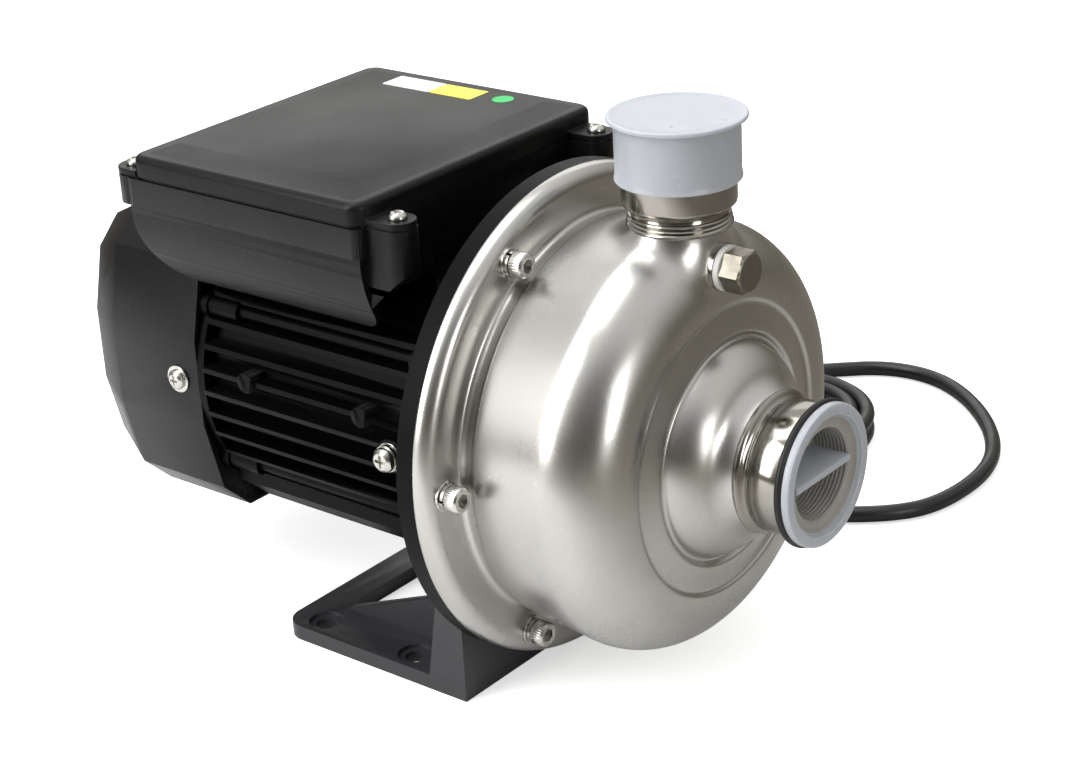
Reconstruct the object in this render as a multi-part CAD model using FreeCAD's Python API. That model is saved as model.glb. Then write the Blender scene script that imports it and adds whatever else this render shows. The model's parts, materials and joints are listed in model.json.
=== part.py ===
"""Close-coupled centrifugal chemical pump with a pressed stainless casing and a finned motor.

Millimetres. +X runs along the shaft to the suction socket, +Z is up. The origin is the centre
of the foot's four fixing holes, on the foot's underside. Shaft pieces are drawn about the shaft
line, with 0 at the back of the casing flange face, and moved into the part's frame at the end.
"""
import FreeCAD, Part
import math
import os

V = FreeCAD.Vector
ALONG = V(1, 0, 0)
ACROSS = V(0, 1, 0)
UP = V(0, 0, 1)

# General fits
RUNNING_FIT = 0.05
SLIDE_GAP = 0.3
AIR_GAP = 0.4
SCREW_GAP = 0.4

# Pressed casing
SHEET = 2.0
FLANGE_R = 100.0
FLANGE_FACE_X = 4.0
LIP_R = 6.0
SHAFT_HEIGHT = FLANGE_R + 4.0
BARREL_NECK_R = FLANGE_R - 19.0
BARREL_NECK_END_X = 9.5
BARREL_ROOT_R = BARREL_NECK_R + 1.8
BARREL_R = BARREL_ROOT_R + 3.0
SHOULDER_R = 25.6
FRONT_X = 70.0
RING_R = BARREL_R - SHOULDER_R - 1.7
LEDGE_R = 46.2
LEDGE_RISE = 1.5
DOME_R = 43.0
DOME_END_X = FRONT_X + 12.0
DOME_END_R = 33.8
SUCTION_NECK_X = DOME_END_X + 8.0
SUCTION_NECK_R = 27.2

# Ports
SUCTION_THREAD_R = 19.5
SUCTION_SOCKET_R = 26.0
SUCTION_END_X = SUCTION_NECK_X + 18.3
DISCHARGE_X = FRONT_X - 20.1
DISCHARGE_NECK_R = 18.0
DISCHARGE_NECK_TOP = BARREL_R + 7.2
DISCHARGE_FILLET = 5.0
DISCHARGE_THREAD_R = 15.15
DISCHARGE_SOCKET_R = 21.8
DISCHARGE_TOP = DISCHARGE_NECK_TOP + 35.8
PRIMING_UP = BARREL_R - 11.8
PRIMING_THREAD_R = 5.75
PRIMING_BOSS_R = 9.2
PRIMING_BOSS_END_X = FRONT_X

# Flange bolting
FLANGE_SCREWS = 6
FIRST_SCREW_TURN = 30.0
BOLT_CIRCLE_R = FLANGE_R - 10.0
FLANGE_SCREW_R = 3.0
FLANGE_SCREW_LENGTH = 16.0
FLANGE_SCREW_HEX = 5.0
FLANGE_WASHER_R = 6.0
FLANGE_WASHER = 1.2
SPRING_WASHER_R = 5.1
SPRING_WASHER = 1.6

# Bracket between pump and motor
BRACKET_LAND_R = FLANGE_R - 7.5
BRACKET_RIM = 8.0
SEAL_PLATE_R = FLANGE_R - 14.0
SEAL_PLATE_FACE_X = -3.0
BRACKET_RING = 16.0
BRACKET_CONE_R = 72.0
BRACKET_COLLAR_R = 68.0
BRACKET_COLLAR_X = -20.0
BRACKET_WEB_X = -9.0
BRACKET_WEB = 6.0

# Motor
FRAME_FRONT_X = -30.0
FRAME_LENGTH = 118.0
FRAME_BACK_X = FRAME_FRONT_X - FRAME_LENGTH
FRAME_BORE_R = 56.0
FRAME_WALL = 4.0
FIN_TIP_R = 67.0
FIN_PITCH = 10.0
FIN_TOP_Z = 48.0
FIN_COUNT = 11
FIN_THICK = 2.2
PAD_TOP = 66.0
PAD_WIDTH = 60.0
PAD_LENGTH = FRAME_LENGTH - 26.0
CORE_LENGTH = FRAME_LENGTH - 48.0
CORE_FRONT_X = FRAME_FRONT_X - 25.0
ROTOR_BORE_R = 32.5
WINDING_INNER_R = 36.0
WINDING_OUTER_R = 52.0
WINDING_REACH = 15.0
TIE_BOLT_R = 2.5
TIE_CIRCLE_R = 64.2
TIE_TOP_Z = 33.0
TIE_BOTTOM_Z = -37.0
TIE_HEAD_R = 4.0
TIE_HEAD = 3.0
EYEBOLT_BOSS_R = 4.4
WIRE_HOLE_R = 9.0
SHIELD_PLATE = 4.0
SHIELD_RIM_R = 62.0
SHIELD_RIM = 8.0
SHIELD_BACK_X = FRAME_BACK_X - SHIELD_PLATE - SHIELD_RIM
SHIELD_BOSS_R = 5.0

# Bearings: outer radius, bore radius, width, ball radius
FRONT_BEARING_R = 23.5
FRONT_BEARING_BORE_R = 10.0
FRONT_BEARING_WIDTH = 14.0
FRONT_BALL_R = 3.3
REAR_BEARING_R = 20.0
REAR_BEARING_BORE_R = 8.5
REAR_BEARING_WIDTH = 12.0
REAR_BALL_R = 2.9
BALLS = 8

# Shaft, seal and impeller
SEAL_SHAFT_R = 8.0
ROTOR_SHAFT_R = 11.0
FAN_SHAFT_R = 7.0
STUD_R = 5.0
SEAL_PLATE_CROWN_X = 19.0
SEAT_R = 13.5
IMPELLER_R = 66.0
IMPELLER_BACK_X = 36.0
SHROUD = 2.0
BLADES = 6
BLADE_THICK = 2.0
EYE_R = 26.0
EYE_BORE_R = 23.5
EYE_END_X = 60.0
HUB_R = 13.5
HUB_START_X = 30.0
HUB_END_X = 50.0
KEY_WIDTH = 4.0
NUT_FLATS = 17.0
NUT_LENGTH = 8.0

# Fan and its cover
COVER_HALF_WIDTH = 65.5
COVER_FLAT_HALF = 19.0
COVER_SIDE_Y = 58.0
COVER_SIDE_Z = 51.0
COVER_CORNER_Y = 44.0
COVER_HALF_HEIGHT = 64.5
COVER_WALL = 1.8
COVER_FRONT_X = FRAME_BACK_X - SHIELD_PLATE
COVER_BEND_X = COVER_FRONT_X - 50.0
COVER_BACK_X = COVER_BEND_X - 22.0
COVER_BACK_SHARE = 0.84
COVER_SCREW_X = COVER_FRONT_X - 12.0
COVER_SCREW_HEAD_R = 6.0
GRILLE_R = 44.0
GRILLE_SLOT = 3.4
GRILLE_PITCH = 7.2
FAN_R = 56.0
FAN_BLADES = 8
FAN_FRONT_X = SHIELD_BACK_X - 12.0
FAN_WIDTH = 24.0

# Terminal box
BOX_BACK_X = FRAME_BACK_X - 24.0
BOX_FRONT_X = FRAME_FRONT_X - 16.0
BOX_HALF_WIDTH = 73.0
BOX_RIM_TOP = 90.0
BOX_RIM_DEEP = 12.0
BOX_RIM_PROUD = 1.0
BOX_WALL = 2.5
SKIRT_BOTTOM = 46.0
SKIRT_HALF_WIDTH = BOX_HALF_WIDTH - 10.5
SKIRT_BULGE_Y = BOX_HALF_WIDTH - 2.2
SKIRT_BULGE_Z = 62.0
BOX_FLOOR = 3.0
BOX_CORNER_R = 26.0
GASKET = 0.8
LID_BACK_X = BOX_BACK_X + 2.2
LID_FRONT_X = BOX_FRONT_X + 1.0
LID_HALF_WIDTH = BOX_HALF_WIDTH + 0.5
LID_SIDE = 9.0
LID_CROWN = 3.0
LID_CORNER_R = 7.0
PLATEAU_INSET = 15.0
EAR_R = 7.2
FRONT_EAR_X = BOX_FRONT_X + 10.5
FRONT_EAR_Y = BOX_HALF_WIDTH - 11.5
BACK_EAR_X = BOX_BACK_X - 2.0
BACK_EAR_Y = BOX_HALF_WIDTH - 7.0
EAR_THICK = 2.4
LID_SCREW_R = 2.0
LID_SCREW_DEEP = 9.0
LID_SCREW_HEAD_R = 3.8
CAPACITOR_R = 12.5
CAPACITOR_LENGTH = 78.0

# Cable gland on the far side of the box
GLAND_X = -120.0
GLAND_Z = 78.5
GLAND_R = 8.0
GLAND_FLATS = 20.0
GLAND_BODY = 9.0
GLAND_DOME = 12.0

# Earth screw on the near side
EARTH_X = FRAME_FRONT_X - 13.0
EARTH_Z = -4.5
EARTH_SCREW_R = 2.5
EARTH_HEAD_R = 4.8
EARTH_BOSS_R = 7.0
EARTH_FACE_Y = FIN_TIP_R + 1.0

# Foot
FOOT_LENGTH = 101.0
HOLES_BEHIND_FRONT = 60.0
FOOT_HALF_WIDTH = 70.0
FOOT_PLATE = 6.5
FOOT_BAND = 15.0
FOOT_RAIL = 28.0
FOOT_CORNER_R = 10.0
FOOT_HOLE_SPACING_X = 50.0
FOOT_HOLE_SPACING_Y = 120.0
FOOT_HOLE_R = 4.5
FOOT_RECESS_R = 7.5
FOOT_RECESS = 1.5
UPRIGHT_TOP = -58.0
UPRIGHT_WALL = 5.0
UPRIGHT_DEEP = 20.0
UPRIGHT_DEEP_TOP = 12.0
GUSSET_TOP = -66.0
FOOT_SCREW_Y = 0.6 * FLANGE_R
FOOT_SCREW_Z = -0.62 * FLANGE_R
FOOT_SCREW_R = 3.0
FOOT_SCREW_FLATS = 10.0
FOOT_SCREW_HEAD = 4.0
CRADLE_GAP = 1.5

# Shipping caps
CAP_WALL = 1.6
CAP_FIT = 0.2
CAP_SKIRT_BOTTOM = DISCHARGE_NECK_TOP + 13.0
CAP_BRIM_R = DISCHARGE_SOCKET_R + 4.6
CAP_BRIM = 1.6
PLUG_FLANGE_R = SUCTION_SOCKET_R + 1.9
PLUG_FLANGE = 3.4
PLUG_DEPTH = 17.0
PLUG_WALL = 1.5
PLUG_WEB = 3.0
PLUG_WASHER_R = SUCTION_SOCKET_R + 2.8
PLUG_WASHER = 3.0

# Priming plug
PRIMING_HEX = 17.0
PRIMING_HEAD = 9.0
PRIMING_WASHER_R = PRIMING_BOSS_R + 0.2
PRIMING_WASHER = 2.4
PRIMING_SHANK = 12.0

# Power cord
CORD_R = 3.7
COIL_TURN_R = 41.0
COIL_CENTRE = (-47.0, 207.0)
COIL_WIDE = 15.6
COIL_HIGH = 14.8
PLUG_BODY_R = 18.5
PLUG_BODY = 32.0
PLUG_RELIEF = 24.0
PLUG_END_X = -146.0
PLUG_Y = 136.0
PLUG_PIN_R = 2.4
PLUG_PIN = 19.0
PLUG_PIN_SPACING = 19.0

# Places worked out from the sizes above
FLANGE_BACK_X = FLANGE_FACE_X - SHEET
RIM_X = FLANGE_FACE_X - LIP_R - 1.0
SHOULDER_START_X = FRONT_X - SHOULDER_R
SHOULDER_END_R = BARREL_R - SHOULDER_R
BRACKET_BACK_X = RIM_X - BRACKET_RIM
SEAL_PLATE_BACK_X = SEAL_PLATE_FACE_X - SHEET
FRAME_R = FRAME_BORE_R + FRAME_WALL
CORE_BACK_X = CORE_FRONT_X - CORE_LENGTH
FRONT_BEARING_X = BRACKET_WEB_X - 3.0
FRONT_BEARING_BACK_X = FRONT_BEARING_X - FRONT_BEARING_WIDTH
REAR_BEARING_BACK_X = SHIELD_BACK_X
REAR_BEARING_X = REAR_BEARING_BACK_X + REAR_BEARING_WIDTH
FLOOR_TOP = PAD_TOP + BOX_FLOOR
LID_BOTTOM = BOX_RIM_TOP + GASKET
LID_SHOULDER = LID_BOTTOM + LID_SIDE
FOOT_FRONT_X = BRACKET_BACK_X
FOOT_BACK_X = FOOT_FRONT_X - FOOT_LENGTH
FLANGE_AHEAD_OF_HOLES = HOLES_BEHIND_FRONT - FOOT_FRONT_X
FLOOR = -SHAFT_HEIGHT
FOOT_TOP = FLOOR + FOOT_PLATE


def outline(start, steps):
    """Closed face in the X-Z plane. A step is a corner, or a (point on arc, end) pair."""
    edges = []
    here = V(start[0], 0, start[1])
    for step in list(steps) + [start]:
        if isinstance(step[0], tuple):
            middle = V(step[0][0], 0, step[0][1])
            end = V(step[1][0], 0, step[1][1])
            edges.append(Part.Arc(here, middle, end).toShape())
        else:
            end = V(step[0], 0, step[1])
            if end.distanceToPoint(here) > 1e-6:
                edges.append(Part.LineSegment(here, end).toShape())
        here = end
    return Part.Face(Part.Wire(edges))


def turned(start, *steps):
    """Solid of revolution about the shaft line from (along, radius) corners."""
    return outline(start, steps).revolve(V(0, 0, 0), ALONG, 360)


def upright_turned(centre_x, start, *steps):
    """Solid of revolution about a vertical line from (radius, height) corners."""
    face = outline(start, steps)
    solid = face.revolve(V(0, 0, 0), UP, 360)
    solid.translate(V(centre_x, 0, 0))
    return solid


def rod(x0, x1, r, y=0.0, z=0.0):
    return Part.makeCylinder(r, x1 - x0, V(x0, y, z), ALONG)


def tube(x0, x1, outer, inner):
    return rod(x0, x1, outer).cut(rod(x0 - 1, x1 + 1, inner))


def post(x, y, z0, z1, r):
    return Part.makeCylinder(r, z1 - z0, V(x, y, z0), UP)


def cross_rod(x, z, y0, y1, r):
    return Part.makeCylinder(r, y1 - y0, V(x, y0, z), ACROSS)


def block(x0, x1, y0, y1, z0, z1):
    return Part.makeBox(x1 - x0, y1 - y0, z1 - z0, V(x0, y0, z0))


def hexagon(flats, length, base, direction):
    """Hexagonal prism across the flats, from base along direction."""
    corner = flats / math.sqrt(3.0)
    points = []
    for i in range(7):
        angle = math.radians(60 * i)
        points.append(V(corner * math.cos(angle), corner * math.sin(angle), 0))
    prism = Part.Face(Part.makePolygon(points)).extrude(V(0, 0, length))
    prism.Placement = FreeCAD.Placement(base, FreeCAD.Rotation(UP, direction))
    return prism


def section(points, x0, x1):
    """Prism along the shaft from (y, z) corners."""
    wire = Part.makePolygon([V(x0, y, z) for y, z in points + points[:1]])
    return Part.Face(wire).extrude(V(x1 - x0, 0, 0))


def side_plate(points, y0, y1):
    """Prism across the shaft from (x, z) corners."""
    wire = Part.makePolygon([V(x, y0, z) for x, z in points + points[:1]])
    return Part.Face(wire).extrude(V(0, y1 - y0, 0))


def level_plate(x0, x1, half, z0, z1, corner):
    """Flat block with rounded upright corners."""
    plate = block(x0, x1, -half, half, z0, z1)
    upright = [e for e in plate.Edges if abs(e.tangentAt(e.FirstParameter).z) > 0.99]
    return plate.makeFillet(corner, upright)


def around(shape, count, first=0.0):
    """Copies of a shape, evenly turned about the shaft line."""
    copies = []
    for i in range(count):
        copy = shape.copy()
        copy.rotate(V(0, 0, 0), ALONG, first + 360.0 * i / count)
        copies.append(copy)
    return copies


def both_sides(shape):
    """The shape and its mirror image on the other side of the shaft."""
    return [shape, shape.mirror(V(0, 0, 0), ACROSS)]


def fused(shapes):
    result = shapes[0]
    if len(shapes) > 1:
        result = result.multiFuse(shapes[1:])
    return result.removeSplitter()


def group(shapes):
    return Part.makeCompound(shapes)


def casing_outline(inset):
    """Face from the shaft line out to the casing's pressed surface, or to inset below it."""
    back = RIM_X if inset == 0 else FLANGE_BACK_X
    lip_r = LIP_R - inset
    turn = math.sqrt(0.5)
    lip_x = FLANGE_FACE_X - LIP_R
    lip_z = FLANGE_R - LIP_R
    bend = 2.0 + inset
    neck = BARREL_NECK_R - inset
    face = FLANGE_FACE_X - inset
    front = FRONT_X - inset
    shoulder = SHOULDER_R - inset
    ring = RING_R
    steps = []
    if inset == 0:
        steps.append((back, FLANGE_R))
        steps.append((lip_x, FLANGE_R))
        steps.append(((lip_x + lip_r * turn, lip_z + lip_r * turn), (FLANGE_FACE_X, lip_z)))
    corner_x = face + bend
    corner_r = neck + bend
    steps.append((face, corner_r))
    steps.append(((corner_x - bend * turn, corner_r - bend * turn), (corner_x, neck)))
    steps.append((BARREL_NECK_END_X + inset, neck))
    steps.append((BARREL_NECK_END_X + 2.0 + inset, BARREL_ROOT_R - inset))
    steps.append((SHOULDER_START_X, BARREL_R - inset))
    across = SHOULDER_START_X + shoulder * turn
    rise = SHOULDER_END_R + shoulder * turn
    steps.append(((across, rise), (front, SHOULDER_END_R)))
    steps.append((front, ring))
    steps.append((front - 1.4, ring - 1.2))
    steps.append((front + LEDGE_RISE, LEDGE_R + 0.4 * inset))
    steps.append((front - 0.7, LEDGE_R - 1.6 + 0.2 * inset))
    steps.append((front - 0.4, DOME_R - 0.3 * inset))
    dome_end = (DOME_END_X - 0.75 * inset, DOME_END_R - 0.7 * inset)
    dome_mid_x = 0.5 * (front - 0.4 + dome_end[0]) + 0.9
    dome_mid_r = 0.5 * (DOME_R - 0.3 * inset + dome_end[1]) + 0.9
    steps.append(((dome_mid_x, dome_mid_r), dome_end))
    flare_mid_x = 0.5 * (dome_end[0] + SUCTION_NECK_X) - 0.7
    flare_mid_r = 0.5 * (dome_end[1] + SUCTION_NECK_R - inset) - 0.9
    steps.append(((flare_mid_x, flare_mid_r), (SUCTION_NECK_X, SUCTION_NECK_R - inset)))
    steps.append((SUCTION_NECK_X, 0.0))
    return outline((back, 0.0), steps)


def pump_casing():
    outer = casing_outline(0).revolve(V(0, 0, 0), ALONG, 360)
    neck = post(DISCHARGE_X, 0, BARREL_R - SHOULDER_R, DISCHARGE_NECK_TOP, DISCHARGE_NECK_R)
    body = outer.fuse(neck)
    seam = [e for e in body.Edges if on_discharge_seam(e)]
    body = body.makeFillet(DISCHARGE_FILLET, seam)
    inner = casing_outline(SHEET).revolve(V(0, 0, 0), ALONG, 360)
    body = body.cut(inner)
    bore = DISCHARGE_NECK_R - SHEET
    body = body.cut(post(DISCHARGE_X, 0, 0.5 * BARREL_R, DISCHARGE_NECK_TOP + 1, bore))
    lip_inner = turned((RIM_X, 0), (RIM_X, FLANGE_R - SHEET), (FLANGE_FACE_X - LIP_R, FLANGE_R - SHEET),
                       (FLANGE_BACK_X, FLANGE_R - LIP_R), (FLANGE_BACK_X, 0))
    body = body.cut(lip_inner)
    hole = rod(RIM_X, FLANGE_FACE_X + 1, FLANGE_SCREW_R + SCREW_GAP, z=BOLT_CIRCLE_R)
    for cut in around(hole, FLANGE_SCREWS, FIRST_SCREW_TURN):
        body = body.cut(cut)
    body = body.cut(rod(DISCHARGE_X, PRIMING_BOSS_END_X, PRIMING_BOSS_R, z=PRIMING_UP))
    return body


def on_discharge_seam(edge):
    """True for the edges where the discharge neck leaves the barrel."""
    for vertex in edge.Vertexes:
        away = math.hypot(vertex.X - DISCHARGE_X, vertex.Y)
        if abs(away - DISCHARGE_NECK_R) > 0.01:
            return False
    box = edge.BoundBox
    return box.ZMax < DISCHARGE_NECK_TOP - 0.5 and box.ZMin > SHOULDER_END_R and box.ZLength < 20


def suction_socket():
    chamfer = 0.8
    bead = SUCTION_NECK_R - SUCTION_SOCKET_R
    end = SUCTION_END_X
    body = turned((SUCTION_NECK_X, SUCTION_THREAD_R), (SUCTION_NECK_X, SUCTION_NECK_R),
                  ((SUCTION_NECK_X + 1.6, SUCTION_NECK_R - 0.2 * bead), (SUCTION_NECK_X + 3, SUCTION_SOCKET_R)),
                  (end - chamfer, SUCTION_SOCKET_R), (end, SUCTION_SOCKET_R - chamfer),
                  (end, SUCTION_THREAD_R + chamfer), (end - chamfer, SUCTION_THREAD_R))
    return body


def discharge_socket():
    foot = DISCHARGE_NECK_TOP
    r = DISCHARGE_SOCKET_R
    chamfer = 0.8
    return upright_turned(DISCHARGE_X, (DISCHARGE_THREAD_R, foot), (DISCHARGE_NECK_R + 1.0, foot),
                          (DISCHARGE_NECK_R + 1.0, foot + 1.0),
                          ((r - 0.8, foot + 2.0), (r, foot + 4.5)),
                          (r, DISCHARGE_TOP - chamfer), (r - chamfer, DISCHARGE_TOP),
                          (DISCHARGE_THREAD_R + chamfer, DISCHARGE_TOP),
                          (DISCHARGE_THREAD_R, DISCHARGE_TOP - chamfer))


def priming_boss():
    start = SHOULDER_START_X + math.sqrt(SHOULDER_R ** 2 - (PRIMING_UP - SHOULDER_END_R) ** 2) - 8.0
    body = rod(start, PRIMING_BOSS_END_X, PRIMING_BOSS_R, z=PRIMING_UP)
    return body.cut(rod(start - 1, PRIMING_BOSS_END_X + 1, PRIMING_THREAD_R, z=PRIMING_UP))


def wear_ring():
    """Suction guide tube with the ring that runs round the impeller's eye."""
    bore = EYE_R + SLIDE_GAP
    guide = SUCTION_NECK_R - SHEET - 0.2
    start = EYE_END_X - 2.5
    return turned((start, bore), (start, bore + 3.0), (EYE_END_X + 3.0, bore + 3.0), (EYE_END_X + 5.0, guide),
                  (SUCTION_NECK_X, guide), (SUCTION_NECK_X, guide - SHEET),
                  (EYE_END_X + 1.0, guide - SHEET), (EYE_END_X + 1.0, bore))


def casing_o_ring():
    gap = FLANGE_BACK_X - SEAL_PLATE_FACE_X
    r = BARREL_NECK_R + 2.0
    return Part.makeTorus(r, gap / 2.0, V(SEAL_PLATE_FACE_X + gap / 2.0, 0, 0), ALONG)


def seal_plate():
    """Pressed plate that closes the casing and holds the seal's seat."""
    crown = SEAL_PLATE_CROWN_X
    sleeve = crown - 10.0
    bend = 63.0
    top = 42.0
    return turned((SEAL_PLATE_BACK_X, SEAL_PLATE_R), (SEAL_PLATE_FACE_X, SEAL_PLATE_R),
                  (SEAL_PLATE_FACE_X, bend), (crown, top), (crown, SEAT_R), (sleeve, SEAT_R),
                  (sleeve, SEAT_R + SHEET), (crown - SHEET, SEAT_R + SHEET), (crown - SHEET, top - 1.2),
                  (SEAL_PLATE_BACK_X, bend - 1.2))


def bracket_profile():
    recess = SEAL_PLATE_R + SCREW_GAP
    web_back = BRACKET_WEB_X - BRACKET_WEB
    hub = FRONT_BEARING_R + 5.5
    return turned((FLANGE_BACK_X, recess), (FLANGE_BACK_X, BRACKET_LAND_R), (RIM_X, BRACKET_LAND_R),
                  (RIM_X, FLANGE_R), (BRACKET_BACK_X, FLANGE_R), (BRACKET_BACK_X, FLANGE_R - BRACKET_RING),
                  (BRACKET_COLLAR_X, BRACKET_CONE_R), (BRACKET_COLLAR_X, BRACKET_COLLAR_R),
                  (FRAME_FRONT_X, BRACKET_COLLAR_R), (FRAME_FRONT_X, FRAME_BORE_R),
                  (BRACKET_COLLAR_X - 2.0, FRAME_BORE_R), (web_back, FRAME_BORE_R - 6.0), (web_back, hub),
                  (FRONT_BEARING_BACK_X, hub), (FRONT_BEARING_BACK_X, FRONT_BEARING_R),
                  (FRONT_BEARING_X, FRONT_BEARING_R), (FRONT_BEARING_X, SEAL_SHAFT_R + 4.5),
                  (BRACKET_WEB_X, SEAL_SHAFT_R + 4.5), (BRACKET_WEB_X, FRAME_BORE_R),
                  (SEAL_PLATE_BACK_X, FRAME_BORE_R + 4.0), (SEAL_PLATE_BACK_X, recess))


def motor_bracket():
    body = bracket_profile()
    rib = side_plate([(BRACKET_BACK_X + 1.0, FLANGE_R - 4.0), (BRACKET_BACK_X + 1.0, FLANGE_R - 20.0),
                      (BRACKET_COLLAR_X, BRACKET_COLLAR_R - 1.0), (FRAME_FRONT_X, BRACKET_COLLAR_R - 1.0),
                      (FRAME_FRONT_X, BRACKET_COLLAR_R + 2.0)], -2.0, 2.0)
    ribs = around(rib, 6)
    body = fused([body] + ribs[:3] + ribs[4:])
    hole = rod(BRACKET_BACK_X - 1, FLANGE_BACK_X + 1, FLANGE_SCREW_R, z=BOLT_CIRCLE_R)
    for cut in around(hole, FLANGE_SCREWS, FIRST_SCREW_TURN):
        body = body.cut(cut)
    for cut in both_sides(rod(BRACKET_BACK_X - 1, SEAL_PLATE_BACK_X, FOOT_SCREW_R, FOOT_SCREW_Y, FOOT_SCREW_Z)):
        body = body.cut(cut)
    for y, z in tie_bolt_places():
        body = body.cut(rod(FRAME_FRONT_X - 1, BRACKET_COLLAR_X, TIE_BOLT_R, y, z))
    return body


def tie_bolt_places():
    places = []
    for z in (TIE_TOP_Z, TIE_BOTTOM_Z):
        y = math.sqrt(TIE_CIRCLE_R ** 2 - z ** 2)
        places.append((y, z))
        places.append((-y, z))
    return places


def flange_stack():
    """Flat washer, spring washer and socket screw at the top of the bolt circle."""
    under = FLANGE_FACE_X + FLANGE_WASHER
    head = under + SPRING_WASHER
    screw = rod(head, head + 2 * FLANGE_SCREW_R, FLANGE_SCREW_R * 5 / 3.0, z=BOLT_CIRCLE_R)
    top = [e for e in screw.Edges if abs(e.BoundBox.XMin - head - 2 * FLANGE_SCREW_R) < 0.01]
    screw = screw.makeChamfer(0.5, top[:1])
    screw = screw.fuse(rod(head - FLANGE_SCREW_LENGTH, head, FLANGE_SCREW_R, z=BOLT_CIRCLE_R))
    socket = hexagon(FLANGE_SCREW_HEX, 2 * FLANGE_SCREW_R, V(head + FLANGE_SCREW_R, 0, BOLT_CIRCLE_R), ALONG)
    screw = screw.cut(socket)
    hole = FLANGE_SCREW_R + SCREW_GAP / 2
    flat = rod(FLANGE_FACE_X, under, FLANGE_WASHER_R, z=BOLT_CIRCLE_R)
    flat = flat.cut(rod(FLANGE_FACE_X, under, hole, z=BOLT_CIRCLE_R))
    spring = rod(under, head, SPRING_WASHER_R, z=BOLT_CIRCLE_R).cut(rod(under, head, hole, z=BOLT_CIRCLE_R))
    slit = block(under, head, -0.5, 0.5, BOLT_CIRCLE_R, BOLT_CIRCLE_R + 8)
    return screw, spring.cut(slit), flat


def motor_frame():
    """Round finned housing with a keel below and a pad for the terminal box above."""
    front = FRAME_FRONT_X
    back = FRAME_BACK_X
    body = [rod(back, front, FRAME_R)]
    for i in range(FIN_COUNT):
        z = FIN_TOP_Z - FIN_PITCH * i
        fin = block(back, front, -FIN_TIP_R, FIN_TIP_R, z - FIN_THICK / 2, z + FIN_THICK / 2)
        body.append(fin.common(rod(back, front, FIN_TIP_R)))
    keel = [(-52.0, -40.0), (-52.0, -48.0), (-36.0, -62.0), (-20.0, -68.0),
            (20.0, -68.0), (36.0, -62.0), (52.0, -48.0), (52.0, -40.0)]
    body.append(section(keel, back, front))
    pad_back = CORE_FRONT_X + 8.0 - PAD_LENGTH
    pad = block(pad_back, pad_back + PAD_LENGTH, -PAD_WIDTH / 2, PAD_WIDTH / 2, FRAME_BORE_R - 20.0, PAD_TOP)
    body.append(pad)
    for x in (CORE_FRONT_X - 4.0, CORE_BACK_X + 3.0):
        boss = cross_rod(x, FIN_TOP_Z - 4 * FIN_PITCH, -FIN_TIP_R - 0.6, FIN_TIP_R + 0.6, EYEBOLT_BOSS_R)
        body.append(boss)
    body.append(cross_rod(EARTH_X, EARTH_Z, -EARTH_FACE_Y, -FRAME_BORE_R, EARTH_BOSS_R))
    for x0, x1 in ((back, back + 16.0), (front - 8.0, front)):
        for y, z in tie_bolt_places():
            body.append(rod(x0, x1, TIE_BOLT_R + 2.0, y, z))
    frame = fused(body)
    frame = frame.cut(rod(back - 1, front + 1, FRAME_BORE_R))
    for y, z in tie_bolt_places():
        frame = frame.cut(rod(back - 1, front + 1, TIE_BOLT_R + SCREW_GAP / 2, y, z))
    frame = frame.cut(post(CORE_FRONT_X - 10.0, 0, FRAME_BORE_R - 30.0, PAD_TOP + 1, WIRE_HOLE_R))
    for x, y in box_screw_places():
        frame = frame.cut(post(x, y, PAD_TOP - 8.0, PAD_TOP + 1, LID_SCREW_R))
    frame = frame.cut(cross_rod(EARTH_X, EARTH_Z, -EARTH_FACE_Y - 1, -FRAME_R, EARTH_SCREW_R))
    return frame


def box_screw_places():
    places = []
    for x in (CORE_FRONT_X, CORE_FRONT_X - CORE_LENGTH):
        for y in (-PAD_WIDTH / 2 + 7.0, PAD_WIDTH / 2 - 7.0):
            places.append((x, y))
    return places


def stator_core():
    """Laminated ring with its winding slots open to the bore."""
    core = tube(CORE_BACK_X, CORE_FRONT_X, FRAME_BORE_R, ROTOR_BORE_R)
    slot = block(CORE_BACK_X - 1, CORE_FRONT_X + 1, -1.6, 1.6, ROTOR_BORE_R - 2, WINDING_INNER_R)
    for cut in around(slot, 12):
        core = core.cut(cut)
    return core


def stator_windings():
    front = turned((CORE_FRONT_X, WINDING_INNER_R), (CORE_FRONT_X, WINDING_OUTER_R),
                   (CORE_FRONT_X + WINDING_REACH - 4.0, WINDING_OUTER_R),
                   (CORE_FRONT_X + WINDING_REACH, WINDING_OUTER_R - 5.0),
                   (CORE_FRONT_X + WINDING_REACH, WINDING_INNER_R + 3.0),
                   (CORE_FRONT_X + WINDING_REACH - 3.0, WINDING_INNER_R))
    back = front.mirror(V((CORE_FRONT_X + CORE_BACK_X) / 2, 0, 0), ALONG)
    return group([front, back])


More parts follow.
